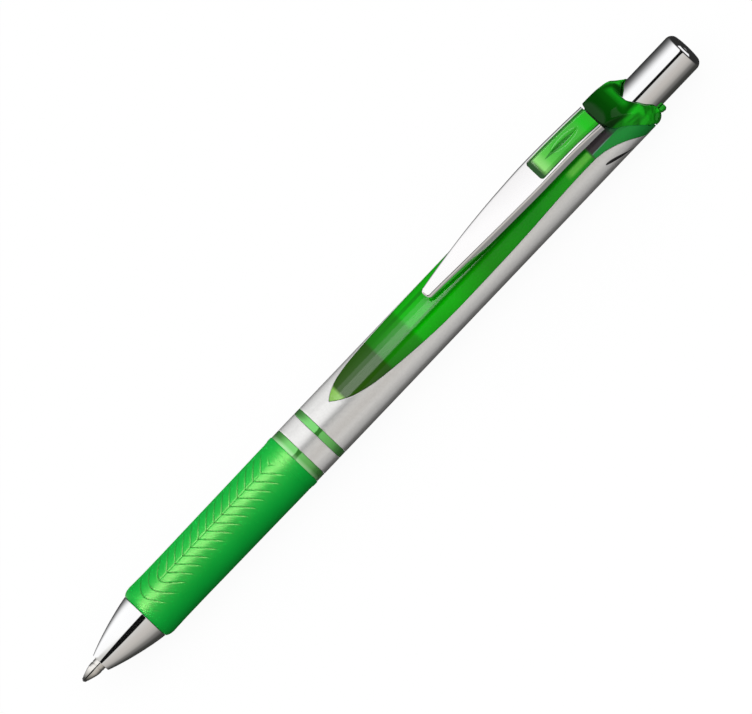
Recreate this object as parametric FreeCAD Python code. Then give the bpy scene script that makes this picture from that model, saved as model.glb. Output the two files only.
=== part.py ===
import FreeCAD, Part
import os
import math

# A retractable gel pen with its tip out. Millimetres. Every piece is drawn along +X
# from the writing ball (x = 0) to the end of the knock (x = length), round the X axis,
# with the clip towards +Z, and is then moved so that the pen lies on its underside with
# the origin under its middle.

# ---- driving dimensions -------------------------------------------------------------
length = 145.0            # writing ball to knock end, tip out
axis_height = 5.35        # the largest lower radius: the pen lies on the grip's rim

ball_r = 0.35             # 0.7 mm ball
ball_clear = 0.02
point_r = 1.15            # shank of the metal point
travel_in = 1.2           # how far the knock is pressed past the writing position
travel_out = 5.2          # how far knock and refill go back when the tip is retracted

cone_front = 4.2
cone_rear = 14.9
cone_profile = [          # x, outer diameter
    (4.2, 3.45), (4.96, 4.10), (5.62, 4.57), (6.29, 4.98), (6.95, 5.39), (7.61, 5.82),
    (8.27, 6.25), (8.93, 6.63), (9.59, 6.98), (10.26, 7.36), (10.92, 7.66), (11.58, 7.96),
    (12.24, 8.22), (12.9, 8.53), (13.56, 8.78), (14.23, 9.02), (14.9, 9.25)]
thread_r = 3.62
thread_depth = 0.22
thread_pitch = 1.0

grip_front = 14.95
grip_rear = 50.7
grip_inner_r = 4.40

band_front, band_rear = 52.45, 56.05      # silver band between the two green rings
sleeve_front = 57.4
sleeve_inner_r = 4.78
sleeve_r = 5.235
ring_r = 5.225
under_r = 4.75            # inner barrel below the sleeve
bore_r = 3.30             # inner barrel round the refill
rear_bore_r = 4.05        # inner barrel round the cam guide and the knock
barrel_end = 132.8

refill_r = 3.0
refill_wall = 0.4
refill_rear = 110.6

spring_front, spring_rear = 11.5, 24.0
spring_mean_r = 2.12
wire_r = 0.20

knock_r = 3.60
knock_front = 124.6
knock_wall = 0.40

rim_x = 131.35            # lowest point of the collar's scalloped rim, on the clip side
rim_z = 1.3

# window in the silver sleeve: x, half angle from the clip plane in degrees
window = [(61.5, 0.0), (62.4, 10.5), (63.8, 18.5), (65.0, 26.0), (68.6, 36.7), (72.6, 43.5),
          (76.6, 48.5), (80.6, 52.9), (84.7, 56.0), (88.9, 56.4), (98.4, 55.5), (104.7, 53.7),
          (112.3, 49.7), (117.9, 48.5), (120.7, 48.5), (122.3, 50.3), (123.9, 54.7)]
# rear edge of the sleeve seen from the side: x, height over the axis
flare = [(123.0, 3.26), (123.9, 3.02), (125.9, 2.21), (127.9, 0.82), (129.5, -1.18),
         (131.0, -3.3), (132.2, -5.6)]
# front edge of the collar seen from the side
collar_edge = [(125.8, 7.9), (125.8, 5.14), (126.7, 4.49), (127.9, 4.00), (128.9, 3.38),
               (130.9, 1.19), (132.1, -0.74), (132.9, -3.3), (133.1, -5.6)]

# clip: x, height of the outer face over the axis, half width
clip_rows = [(85.1, 7.02, 1.06), (88.0, 7.42, 1.36), (92.6, 7.90, 1.81), (98.4, 8.36, 2.28),
             (105.9, 8.65, 2.68), (112.3, 8.72, 2.86), (116.0, 8.66, 2.83), (120.0, 8.46, 2.78),
             (123.0, 8.14, 2.80), (125.45, 7.78, 2.84)]
clip_plate = 0.45
clip_flange = 1.75
inlay_front = 112.5
inlay_half = 2.28

V = FreeCAD.Vector
X = V(1, 0, 0)
O = V(0, 0, 0)


def poly(points):
    """A closed face in the XZ plane from (x, r) points."""
    pts = [V(x, 0, r) for x, r in points]
    return Part.Face(Part.makePolygon(pts + [pts[0]]))


def rev(points):
    return poly(points).revolve(O, X, 360)


def rev_edges(edges):
    return Part.Face(Part.Wire(edges)).revolve(O, X, 360)


def line(a, b):
    return Part.LineSegment(V(*a), V(*b)).toShape()


def spline(points):
    c = Part.BSplineCurve()
    c.interpolate([V(*p) for p in points])
    return c.toShape()


def tube(x0, x1, r_in, r_out):
    return rev([(x0, r_in), (x1, r_in), (x1, r_out), (x0, r_out)])


def solid_rod(x0, x1, r):
    return rev([(x0, 0), (x1, 0), (x1, r), (x0, r)])


def box(x0, x1, y0, y1, z0, z1):
    return Part.makeBox(x1 - x0, y1 - y0, z1 - z0, V(x0, y0, z0))


def sector(x0, x1, r0, r1, mid_deg, width_deg):
    """A piece of ring centred on an angle about X, measured from +Z."""
    f = poly([(x0, r0), (x1, r0), (x1, r1), (x0, r1)])
    s = f.revolve(O, X, width_deg)
    s.rotate(O, X, mid_deg - width_deg / 2.0)
    return s


def one(shape):
    shape = shape.removeSplitter()
    solids = shape.Solids
    return solids[0] if len(solids) == 1 else Part.makeCompound(solids)


def interp(rows, x, k):
    for a, b in zip(rows, rows[1:]):
        if a[0] <= x <= b[0]:
            t = (x - a[0]) / (b[0] - a[0])
            return a[k] + t * (b[k] - a[k])
    return rows[0][k] if x < rows[0][0] else rows[-1][k]


parts = {}

# ---- refill -------------------------------------------------------------------------
ball_x = ball_r
parts["writing_ball"] = Part.makeSphere(ball_r, V(ball_x, 0, 0))

point = rev([(0.22, 0), (0.22, 0.372), (0.42, 0.45), (0.75, 0.56), (1.3, 0.76), (1.9, 0.96), (2.6, 1.11),
             (3.1, point_r), (9.6, point_r), (9.6, 0)])
point = point.cut(Part.makeSphere(ball_r + ball_clear, V(ball_x, 0, 0)))
point = point.cut(rev([(0.5, 0), (9.7, 0), (9.7, 0.42), (2.4, 0.42), (1.6, 0.15), (0.5, 0.15)]))
parts["refill_point"] = one(point)

parts["refill_tip_holder"] = rev([
    (7.4, point_r), (9.6, point_r), (9.6, 0.8), (33.0, 0.8), (33.0, refill_r - refill_wall),
    (27.0, refill_r - refill_wall), (27.0, refill_r - 0.05), (spring_rear + 0.25, refill_r - 0.05),
    (spring_rear, 2.7), (spring_rear, 1.75), (7.9, 1.75), (7.4, 1.5)])
parts["refill_tube"] = tube(27.0, 108.2, refill_r - refill_wall, refill_r)
parts["ink_column"] = rev([(33.0, 0), (72.6, 0), (73.0, 2.3), (72.9, refill_r - refill_wall),
                           (33.0, refill_r - refill_wall)])
parts["ink_follower"] = rev([(72.6, 0), (77.3, 0), (77.0, 2.3), (77.3, refill_r - refill_wall),
                             (72.9, refill_r - refill_wall), (73.0, 2.3)])
parts["refill_tail_plug"] = rev([
    (103.6, 0.45), (refill_rear, 0.45), (refill_rear, 2.7), (110.3, refill_r), (108.2, refill_r),
    (108.2, refill_r - refill_wall), (104.0, refill_r - refill_wall), (103.6, 2.3)])

# return spring: round wire swept along a smooth curve through points of the coil
turns = 9.0
spring_len = spring_rear - spring_front - 2 * wire_r
pitch = spring_len / turns


def coil(a):
    return V(spring_mean_r * math.cos(a), spring_mean_r * math.sin(a), pitch * a / (2 * math.pi))


steps = int(turns * 16)
centre = Part.BSplineCurve()
centre.interpolate([coil(2 * math.pi * turns * i / steps) for i in range(steps + 1)])
start_dir = V(0, spring_mean_r, pitch / (2 * math.pi))
sweep = Part.BRepOffsetAPI.MakePipeShell(Part.Wire(centre.toShape()))
sweep.setFrenetMode(True)
sweep.add(Part.Wire(Part.makeCircle(wire_r, coil(0), start_dir)), False, True)
sweep.build()
sweep.makeSolid()
spring = sweep.shape()
spring.rotate(O, V(0, 1, 0), 90)
spring.translate(V(spring_front + wire_r, 0, 0))
parts["return_spring"] = spring

# ---- nose cone with a threaded shank --------------------------------------------------
cone_pts = [(x, 0, d / 2.0) for x, d in cone_profile]
ring = [spline(cone_pts)]
path = [(cone_rear, 0, cone_profile[-1][1] / 2.0), (cone_rear, 0, thread_r - thread_depth)]
x = cone_rear + 0.6
path.append((x, 0, thread_r - thread_depth))
while x < 21.0:
    path += [(x + 0.3, 0, thread_r), (x + 0.55, 0, thread_r), (x + 0.85, 0, thread_r - thread_depth),
             (x + thread_pitch, 0, thread_r - thread_depth)]
    x += thread_pitch
shank_rear = x + 0.4
path += [(shank_rear, 0, thread_r - thread_depth), (shank_rear, 0, 2.85), (spring_front, 0, 2.75),
         (spring_front, 0, 1.95), (5.9, 0, 1.95), (5.6, 0, point_r + 0.08),
         (cone_front, 0, point_r + 0.08), (cone_front, 0, cone_profile[0][1] / 2.0)]
ring += [line(a, b) for a, b in zip(path, path[1:])]
parts["nose_cone"] = rev_edges(ring)

# ---- inner barrel: translucent, one moulding from the thread to the knock --------------
inner = rev([
    (15.05, thread_r + 0.08), (23.0, thread_r + 0.08), (23.6, bore_r), (104.5, bore_r),
    (104.9, rear_bore_r), (barrel_end, rear_bore_r), (barrel_end, under_r),
    (sleeve_front, under_r), (sleeve_front, ring_r), (band_rear + 0.02, ring_r),
    (band_rear + 0.02, under_r), (band_front - 0.02, under_r), (band_front - 0.02, ring_r),
    (grip_rear + 0.02, ring_r), (grip_rear + 0.02, grip_inner_r), (16.0, grip_inner_r),
    (15.05, grip_inner_r - 0.35)])


def outline(inset):
    """The window's edge in plan, x and y, moved inwards by inset."""
    pts = []
    for x, a in window:
        pts.append((x, sleeve_r * math.sin(math.radians(a))))
    rows = []
    for i, (x, y) in enumerate(pts):
        if i == 0:
            rows.append((x + inset, 0.0))
            continue
        a, b = pts[i - 1], pts[min(i + 1, len(pts) - 1)]
        dx, dy = b[0] - a[0], b[1] - a[1]
        n = math.hypot(dx, dy)
        rows.append((x + inset * dy / n, y - inset * dx / n))
    return rows


def side_cut(edge, shift=0.0, top=9.5, rear=140.0):
    """A prism across the pen behind a side-view edge, moved along X by shift."""
    pts = [(x + shift, -9, z) for x, z in edge]
    w = [spline(pts), line(pts[-1], (rear, -9, pts[-1][2])), line((rear, -9, pts[-1][2]), (rear, -9, top)),
         line((rear, -9, top), (pts[0][0], -9, top)), line((pts[0][0], -9, top), pts[0])]
    return Part.Face(Part.Wire(w)).extrude(V(0, 18, 0))


def window_tool(inset):
    half = outline(inset)
    upper = [(x, y, 0.5) for x, y in half]
    lower = [(x, -y, 0.5) for x, y in half]
    top = list(reversed(lower[1:])) + upper
    w = [spline(top), line(upper[-1], (126.5, upper[-1][1], 0.5)),
         line((126.5, upper[-1][1], 0.5), (126.5, -upper[-1][1], 0.5)),
         line((126.5, -upper[-1][1], 0.5), lower[-1])]
    tool = Part.Face(Part.Wire(w)).extrude(V(0, 0, 9))
    return tool.fuse(side_cut(flare, inset))


pad = tube(61.0, barrel_end, under_r - 0.2, sleeve_r - 0.015).common(window_tool(0.06))
behind = side_cut([(p[0] - 0.08, p[1]) for p in collar_edge[1:]], 0.0)
pad = pad.cut(behind)
inner = inner.fuse(pad)
inner = inner.cut(box(rim_x - 0.25, 134, -6, 6, rim_z - 0.1, 6))
parts["inner_barrel"] = one(inner)

# ---- outer pieces ---------------------------------------------------------------------
parts["lower_band"] = tube(band_front, band_rear, under_r + 0.01, sleeve_r)

sleeve = tube(sleeve_front + 0.03, 133.2, sleeve_inner_r, sleeve_r)
sleeve = sleeve.cut(window_tool(0.0))
parts["barrel_sleeve"] = one(sleeve)

parts["grip_sleeve"] = rev([
    (grip_front, grip_inner_r), (grip_front, 4.66), (15.35, 4.92), (15.9, 5.10), (16.3, 5.17),
    (17.2, 5.14), (20.0, 5.085), (23.0, 5.08), (30.0, 5.12), (40.0, 5.17), (46.0, 5.22),
    (49.2, 5.25), (49.6, 5.32), (49.8, axis_height), (50.45, axis_height), (grip_rear, 5.28),
    (grip_rear, grip_inner_r), (15.9, grip_inner_r), (grip_front, grip_inner_r - 0.34)])

# ---- clip -----------------------------------------------------------------------------
def clip_top(drop, x0, x1):
    """The clip's upper curve from the side, lowered by drop, between two stations."""
    rows = [r for r in clip_rows if x0 < r[0] < x1]
    pts = [(x0, 0, interp(clip_rows, x0, 1) - drop)] + [(r[0], 0, r[1] - drop) for r in rows]
    pts.append((x1, 0, interp(clip_rows, x1, 1) - drop))
    return pts


def side_block(x0, x1, drop, depth):
    """The clip's body from the side: upper curve to depth below it, across the pen."""
    up = [(p[0], -4, p[2]) for p in clip_top(drop, x0, x1)]
    lo = [(p[0], -4, p[2] - depth) for p in up]
    w = [spline(up), line(up[-1], lo[-1]), spline(list(reversed(lo))), line(lo[0], up[0])]
    return Part.Face(Part.Wire(w)).extrude(V(0, 8, 0))


def plan_block(x0, x1, inset, nose):
    """The clip's outline in plan, less inset at each side, with a rounded front."""
    rows = [r for r in clip_rows if x0 + nose * 1.2 < r[0] < x1]
    half = [(x0 + 0.18 * nose, 0.62 * (interp(clip_rows, x0 + nose, 2) - inset)),
            (x0 + nose, interp(clip_rows, x0 + nose, 2) - inset)]
    half += [(r[0], r[2] - inset) for r in rows] + [(x1, interp(clip_rows, x1, 2) - inset)]
    up = [(x, y, 3) for x, y in half]
    dn = [(x, -y, 3) for x, y in half]
    curve = list(reversed(dn)) + [(x0, 0, 3)] + up
    w = [spline(curve), line(up[-1], dn[-1])]
    return Part.Face(Part.Wire(w)).extrude(V(0, 0, 8))


clip_end = clip_rows[-1][0]
shell = side_block(85.1, clip_end, 0.0, clip_flange).common(plan_block(85.1, clip_end, 0.0, 0.9))
hollow = side_block(85.6, clip_end + 0.0, clip_plate, 4.0).common(
    plan_block(85.6, clip_end, clip_plate, 0.7))
clip = shell.cut(hollow)
# the flange runs up to nothing beside the collar, and the tip has a rounded foot
foot = Part.makeSphere(1.35, V(87.4, 0, 6.68)).common(box(85, 90, -1.0, 1.0, 5.30, 7.2))
clip = clip.fuse(foot)
# opening for the inlay, a web behind it, and a tongue held in the collar
w = inlay_half
gate = box(inlay_front, 126.5, -w, w, 6.0, 9.5)
round_tool = Part.makeBox(1.2, 2 * w, 4, V(inlay_front - 0.0, -w, 6.0))
corners = box(inlay_front, inlay_front + 0.8, -w, w, 5.9, 9.6).cut(
    Part.makeCylinder(0.8, 4, V(inlay_front + 0.8, w - 0.8, 5.9)).fuse(
        Part.makeCylinder(0.8, 4, V(inlay_front + 0.8, -w + 0.8, 5.9))).fuse(
        box(inlay_front, inlay_front + 0.8, -w + 0.8, w - 0.8, 5.8, 9.7)))
gate = gate.cut(corners)
clip = clip.cut(gate)
web = box(124.75, 125.35, -2.5, 2.5, 5.32, 6.38)
tongue = box(124.75, 129.0, -1.9, 1.9, 5.32, 5.92)
clip = clip.fuse(web).fuse(tongue)
parts["clip"] = one(clip)

# inlay: fills the opening, with a raised pad and a spindle groove along its middle
fill = side_block(inlay_front + 0.06, 125.4, 0.10, 1.25)
fill = fill.common(gate.common(box(inlay_front + 0.06, 125.4, -w + 0.05, w - 0.05, 5.9, 9.6)))
raised = side_block(113.4, 125.4, -0.16, 0.9).common(box(113.4, 125.4, -1.75, 1.75, 5.9, 9.6))
raised = raised.cut(box(113.4, 113.9, -1.75, 1.75, 5.8, 9.7).cut(
    Part.makeCylinder(0.9, 4, V(114.2, 0.85, 5.8)).fuse(Part.makeCylinder(0.9, 4, V(114.2, -0.85, 5.8))).fuse(
        box(113.4, 113.9, -0.85, 0.85, 5.8, 9.7))))
spindle = [(116.3, 0, 5.9), (118.0, 0.36, 5.9), (119.9, 0.50, 5.9), (121.5, 0.36, 5.9), (123.0, 0, 5.9)]
sp = Part.Face(Part.Wire([spline(spindle), spline([(x, -y, z) for x, y, z in reversed(spindle)])])).extrude(V(0, 0, 4))
groove = side_block(115.8, 123.5, 0.25, 0.9)
inlay = fill.fuse(raised)
groove_cut = sp.cut(groove).cut(side_block(115.8, 123.5, 1.1, 3.0))
inlay = inlay.cut(groove_cut)
parts["clip_inlay"] = one(inlay)

# ---- top collar: ring, hood over the clip's root, rear lip -----------------------------
ring = rev([(125.0, 4.80), (132.85, 4.80), (132.85, knock_r + 0.08), (134.2, knock_r + 0.08),
            (134.25, 3.95), (134.0, 4.45), (133.5, 4.95), (132.9, 5.22), (132.2, 5.32), (125.0, 5.32)])
rear_lip = tube(133.9, 135.35, knock_r + 0.08, 4.60).common(box(133, 136, -6, 6, -6, -1.2))
hood_rows = [(125.8, 7.72, 2.55), (127.0, 7.50, 2.65), (128.5, 6.95, 2.95), (130.0, 6.05, 3.35),
             (131.4, 5.10, 3.70), (132.6, 4.45, 3.6)]
wires = []
for x, h, b in hood_rows:
    pts = [(x, -b - 1.25, 2.2), (x, -b - 0.55, h - 2.0), (x, -b, h - 0.75), (x, -b + 0.55, h - 0.12), (x, 0, h + 0.03),
           (x, b - 0.55, h - 0.12), (x, b, h - 0.75), (x, b + 0.55, h - 2.0), (x, b + 1.25, 2.2)]
    if h - 2.0 < 2.6:
        k = (h - 2.6) / 2.0
        pts = [(x, -b - 1.0, 2.2), (x, -b - 0.55, 2.6), (x, -b, h - 0.75 * k), (x, -b + 0.55, h - 0.12), (x, 0, h + 0.03),
               (x, b - 0.55, h - 0.12), (x, b, h - 0.75 * k), (x, b + 0.55, 2.6), (x, b + 1.0, 2.2)]
    wires.append(Part.makePolygon([V(*p) for p in pts] + [V(*pts[0])]))
hood = Part.makeLoft(wires, True, True)
hood = hood.cut(solid_rod(120, 140, 4.80))
collar = ring.fuse(hood)
keep = side_cut(collar_edge, 0.0)
collar = collar.common(keep)
# the clip side falls away in a sloping shoulder towards the knock
shoulder = rev([(129.9, 5.85), (131.2, 5.27), (132.0, 4.85), (132.8, 4.35), (133.5, 4.0), (134.0, 3.85), (136.0, 3.85),
                (136.0, 9.0), (129.9, 9.0)])
collar = collar.cut(shoulder.common(box(129.0, 137.0, -10, 10, 0.9, 10)))
collar = collar.fuse(rear_lip)
collar = collar.cut(solid_rod(120, 132.85, 4.80))
bridge = tube(rim_x - 0.2, 133.0, knock_r + 0.08, 4.95).common(box(130, 134, -6, 6, rim_z, 6))
collar = collar.fuse(bridge).cut(solid_rod(120, 140, knock_r + 0.08))
# scalloped rim on the clip side, and the pocket for the clip's tongue
scallop = Part.makeCylinder(4.4, 12, V(135.8, -6, 6.15), V(0, 1, 0)).common(box(rim_x, 141, -2.9, 2.9, 2.2, 11))
collar = collar.cut(scallop)
collar = collar.cut(box(125.0, 129.35, -2.15, 2.15, 4.6, 6.20))
parts["top_collar"] = one(collar)

# ---- knock and its cam ------------------------------------------------------------------
knock_pts_outer = [(knock_front, 3.35), (knock_front + 0.4, knock_r), (143.45, knock_r)]
arc = []
for i in range(1, 7):
    t = math.radians(15 * i)
    arc.append((143.45 + 1.5 * math.sin(t), knock_r - 1.5 + 1.5 * math.cos(t)))
knock_pts = knock_pts_outer + arc + [(length, 2.05), (length, 0), (length - 0.45, 0), (length - 0.5, 1.8),
                                      (length - 1.2, 2.9), (142.6, knock_r - knock_wall),
                                      (knock_front, knock_r - knock_wall)]
parts["knock_button"] = rev(knock_pts)

guide_x0, guide_x1 = 105.2, 123.4
guide = tube(guide_x0, guide_x1, 3.70, 4.0)
for k in range(4):
    guide = guide.fuse(sector(guide_x0 + 0.6, guide_x1 - 0.6, 3.30, 3.85, 45 + 90 * k, 30))
parts["cam_guide"] = one(guide)

plunger = rev([(115.6, 1.1), (123.9, 1.1), (124.4, 1.8), (141.5, 1.8), (141.5, 2.9), (140.5, knock_r - knock_wall),
               (136.0, knock_r - knock_wall), (136.0, 2.85), (127.6, 2.85), (127.6, knock_r - knock_wall),
               (124.9, knock_r - knock_wall), (124.9, 2.6), (116.8, 2.6), (115.6, 2.6)])
for k in range(4):
    plunger = plunger.fuse(sector(116.6, 123.2, 2.4, 3.55, 90 * k, 38))
for k in range(8):
    a = 45 * k + 22.5
    notch = Part.Face(Part.makePolygon([V(115.4, -1.15, 0), V(116.7, 0, 0), V(115.4, 1.15, 0), V(115.4, -1.15, 0)])).extrude(V(0, 0, 5))
    notch.rotate(O, X, a)
    plunger = plunger.cut(notch)
parts["knock_plunger"] = one(plunger)

rotor = rev([(110.7, 0), (118.6, 0), (119.0, 0.5), (119.0, 0.95), (115.3, 0.95), (114.9, 2.6), (112.2, 2.6),
             (111.9, 2.9), (110.9, 2.9), (110.7, 2.7)])
for k in range(4):
    fin = sector(112.0, 115.3, 2.4, 3.10, 45 + 90 * k, 26)
    rotor = rotor.fuse(fin)
for k in range(8):
    a = 45 * k
    notch = Part.Face(Part.makePolygon([V(115.6, -1.0, 0), V(114.3, 0, 0), V(115.6, 1.0, 0), V(115.6, -1.0, 0)])).extrude(V(0, 0, 5))
    notch = notch.cut(solid_rod(110, 120, 1.0))
    notch.rotate(O, X, a)
    rotor = rotor.cut(notch)
parts["rotor_cam"] = one(rotor)

# ---- write ------------------------------------------------------------------------------
os.makedirs("parts", exist_ok=True)
for name, shape in parts.items():
    s = shape.copy()
    s.translate(V(-length / 2.0, 0, axis_height))
    solids = s.Solids
    if len(solids) == 1:
        s = solids[0]
    b = s.BoundBox
    print("%-18s solids %d valid %s closed %s vol %9.3f x %8.2f %8.2f y %6.2f %6.2f z %6.2f %6.2f" % (
        name, len(solids), s.isValid(), all(q.isClosed() for q in s.Shells), s.Volume,
        b.XMin + length / 2, b.XMax + length / 2, b.YMin, b.YMax, b.ZMin - axis_height, b.ZMax - axis_height))
    s.exportStep("parts/%s.step" % name)
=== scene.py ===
import bpy, bmesh, math
import numpy as np
from mathutils import Vector, Matrix

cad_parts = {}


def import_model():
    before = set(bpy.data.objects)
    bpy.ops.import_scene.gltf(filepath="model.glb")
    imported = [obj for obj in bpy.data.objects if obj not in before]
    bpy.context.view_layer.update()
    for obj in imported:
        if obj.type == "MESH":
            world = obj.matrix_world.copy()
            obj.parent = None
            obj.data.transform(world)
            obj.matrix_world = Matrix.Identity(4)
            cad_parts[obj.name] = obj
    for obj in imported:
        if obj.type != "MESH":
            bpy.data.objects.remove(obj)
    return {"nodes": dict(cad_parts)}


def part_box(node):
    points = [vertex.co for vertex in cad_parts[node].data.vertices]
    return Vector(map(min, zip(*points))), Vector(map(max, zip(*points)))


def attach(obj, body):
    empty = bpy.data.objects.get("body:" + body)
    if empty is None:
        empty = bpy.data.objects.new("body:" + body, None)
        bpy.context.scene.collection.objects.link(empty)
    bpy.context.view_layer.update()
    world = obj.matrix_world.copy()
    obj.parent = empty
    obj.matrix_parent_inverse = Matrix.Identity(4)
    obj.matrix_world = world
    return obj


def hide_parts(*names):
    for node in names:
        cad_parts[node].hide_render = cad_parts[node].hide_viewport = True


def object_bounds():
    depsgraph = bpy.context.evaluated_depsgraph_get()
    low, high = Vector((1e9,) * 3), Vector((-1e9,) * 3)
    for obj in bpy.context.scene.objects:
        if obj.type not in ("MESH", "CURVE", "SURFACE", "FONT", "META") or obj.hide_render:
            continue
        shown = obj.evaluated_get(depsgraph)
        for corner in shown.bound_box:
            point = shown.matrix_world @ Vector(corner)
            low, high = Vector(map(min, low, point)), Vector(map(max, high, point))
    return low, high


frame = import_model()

cad_bounds = [list(map(float, v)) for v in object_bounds()]
scene = bpy.context.scene

# ------------------------------------------------------------------ the pen's own frame
# Stations run along the pen in millimetres from the writing ball; heights and sides are
# in millimetres from the pen's axis; angles are in degrees from the clip's plane.
k_lo, k_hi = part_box("knock_button")
AXIS_Z = (k_lo.z + k_hi.z) / 2.0
X_TIP = cad_bounds[0][0]


def W(pts):
    a = np.asarray(pts, float).reshape(-1, 3) * 1e-3
    a[:, 0] += X_TIP
    a[:, 2] += AXIS_Z
    return a


def pol(x, r, deg):
    t = np.radians(deg)
    return np.stack(np.broadcast_arrays(np.asarray(x, float), r * np.sin(t), r * np.cos(t)), -1)


def pchip(xs, ys):
    """A smooth curve through the points that never overshoots them."""
    xs, ys = np.asarray(xs, float), np.asarray(ys, float)
    h, d = np.diff(xs), np.diff(ys) / np.diff(xs)
    m = np.zeros_like(ys)
    for i in range(1, len(xs) - 1):
        if d[i - 1] * d[i] > 0:
            w1, w2 = 2 * h[i] + h[i - 1], h[i] + 2 * h[i - 1]
            m[i] = (w1 + w2) / (w1 / d[i - 1] + w2 / d[i])
    m[0], m[-1] = d[0], d[-1]

    def f(x):
        x = np.clip(np.asarray(x, float), xs[0], xs[-1])
        i = np.clip(np.searchsorted(xs, x, "right") - 1, 0, len(xs) - 2)
        t = (x - xs[i]) / h[i]
        return ((2 * t**3 - 3 * t**2 + 1) * ys[i] + (t**3 - 2 * t**2 + t) * h[i] * m[i]
                + (-2 * t**3 + 3 * t**2) * ys[i + 1] + (t**3 - t**2) * h[i] * m[i + 1])
    return f


def sstep(a, b, x):
    t = np.clip((np.asarray(x, float) - a) / (b - a), 0, 1)
    return t * t * (3 - 2 * t)


def smin(a, b, k):
    h = np.clip(0.5 + 0.5 * (b - a) / k, 0, 1)
    return b + (a - b) * h - k * h * (1 - h)


def smax(a, b, k):
    return -smin(-a, -b, k)


def fillet(pts, closed=True, seg=6):
    """Rounds the corners of an (x, r, radius) outline."""
    out, n = [], len(pts)
    for i, p in enumerate(pts):
        rad = p[2] if len(p) > 2 else 0.0
        if not rad or (not closed and i in (0, n - 1)):
            out.append((p[0], p[1]))
            continue
        a, b, c = (np.array(q[:2], float) for q in (pts[i - 1], p, pts[(i + 1) % n]))
        la, lc = np.linalg.norm(a - b), np.linalg.norm(c - b)
        u, v = (a - b) / la, (c - b) / lc
        ang = math.acos(max(-1, min(1, float(u @ v))))
        if ang > math.pi - 1e-3:
            out.append((p[0], p[1]))
            continue
        t = min(rad / math.tan(ang / 2), 0.48 * la, 0.48 * lc)
        rad = t * math.tan(ang / 2)
        mid = (u + v) / np.linalg.norm(u + v)
        cen = b + mid * rad / math.sin(ang / 2)
        s0, s1 = b + u * t - cen, b + v * t - cen
        a0 = math.atan2(s0[1], s0[0])
        da = math.atan2(s0[0] * s1[1] - s0[1] * s1[0], float(s0 @ s1))
        for k in range(seg + 1):
            q = a0 + da * k / seg
            out.append((cen[0] + rad * math.cos(q), cen[1] + rad * math.sin(q)))
    return out


def build(name, verts, faces, mat, body, replaces=(), slot=None, sharp=32, merge=2e-7, stage=False, mm=True):
    me = bpy.data.meshes.new(name)
    v = W(verts) if mm else np.asarray(verts, float)
    me.from_pydata([tuple(p) for p in v], [], [tuple(int(i) for i in f) for f in faces])
    bm = bmesh.new()
    bm.from_mesh(me)
    if merge:
        bmesh.ops.remove_doubles(bm, verts=bm.verts, dist=merge)
        bmesh.ops.dissolve_degenerate(bm, edges=bm.edges, dist=merge)
    loose = [q for q in bm.verts if not q.link_faces]
    if loose:
        bmesh.ops.delete(bm, geom=loose, context="VERTS")
    bmesh.ops.recalc_face_normals(bm, faces=bm.faces)
    bm.to_mesh(me)
    bm.free()
    me.polygons.foreach_set("use_smooth", [True] * len(me.polygons))
    me.set_sharp_from_angle(angle=math.radians(sharp))
    me.materials.append(mat)
    ob = bpy.data.objects.new(name, me)
    scene.collection.objects.link(ob)
    if stage:
        return ob
    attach(ob, body)
    if replaces:
        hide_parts(*replaces)
    return ob


def grid_faces(n, m, wrap_n=False, wrap_m=False, base=0):
    """Quads of an n by m grid of points, joined end to end where wrap says so."""
    i = np.arange(n if wrap_n else n - 1)
    j = np.arange(m if wrap_m else m - 1)
    I, J = np.meshgrid(i, j, indexing="ij")
    I2, J2 = (I + 1) % n, (J + 1) % m
    q = np.stack([I * m + J, I2 * m + J, I2 * m + J2, I * m + J2], -1).reshape(-1, 4)
    return (q + base).tolist()


def lathe(name, profile, mat, body, seg=192, **kw):
    """A closed outline of (x, r) turned round the axis."""
    p = np.array(profile, float)
    a = np.linspace(0, 360, seg, endpoint=False)
    v = pol(p[None, :, 0], p[None, :, 1], a[:, None])
    return build(name, v, grid_faces(seg, len(p), True, True), mat, body, **kw)


# ------------------------------------------------------------------------- materials
def new_mat(name):
    m = bpy.data.materials.new(name)
    m.use_nodes = True
    nt = m.node_tree
    return m, nt, nt.nodes["Principled BSDF"]


def node(nt, kind, **sockets):
    n = nt.nodes.new(kind)
    for k, v in sockets.items():
        if hasattr(n, k) and not k[0].isupper():
            setattr(n, k, v)
        else:
            n.inputs[k].default_value = v
    return n


def coords(nt, scale=(1, 1, 1)):
    tc = nt.nodes.new("ShaderNodeTexCoord")
    mp = nt.nodes.new("ShaderNodeMapping")
    mp.inputs["Scale"].default_value = scale
    nt.links.new(tc.outputs["Object"], mp.inputs["Vector"])
    return mp.outputs["Vector"]


def noise(nt, vec, scale, detail=3.0, rough=0.5):
    n = nt.nodes.new("ShaderNodeTexNoise")
    n.inputs["Scale"].default_value = scale
    n.inputs["Detail"].default_value = detail
    n.inputs["Roughness"].default_value = rough
    nt.links.new(vec, n.inputs["Vector"])
    return n.outputs["Fac"]


def ranged(nt, fac, lo, hi, a=0.3, b=0.7):
    r = nt.nodes.new("ShaderNodeMapRange")
    r.inputs["From Min"].default_value = a
    r.inputs["From Max"].default_value = b
    r.inputs["To Min"].default_value = lo
    r.inputs["To Max"].default_value = hi
    nt.links.new(fac, r.inputs["Value"])
    return r.outputs["Result"]


def two_colours(nt, fac, c0, c1):
    x = nt.nodes.new("ShaderNodeMix")
    x.data_type = "RGBA"
    x.inputs["A"].default_value = (*c0, 1)
    x.inputs["B"].default_value = (*c1, 1)
    nt.links.new(fac, x.inputs["Factor"])
    return x.outputs["Result"]


def bump(nt, b, fac, dist, strength=1.0):
    n = nt.nodes.new("ShaderNodeBump")
    n.inputs["Strength"].default_value = strength
    n.inputs["Distance"].default_value = dist
    nt.links.new(fac, n.inputs["Height"])
    nt.links.new(n.outputs["Normal"], b.inputs["Normal"])
    return n


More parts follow.
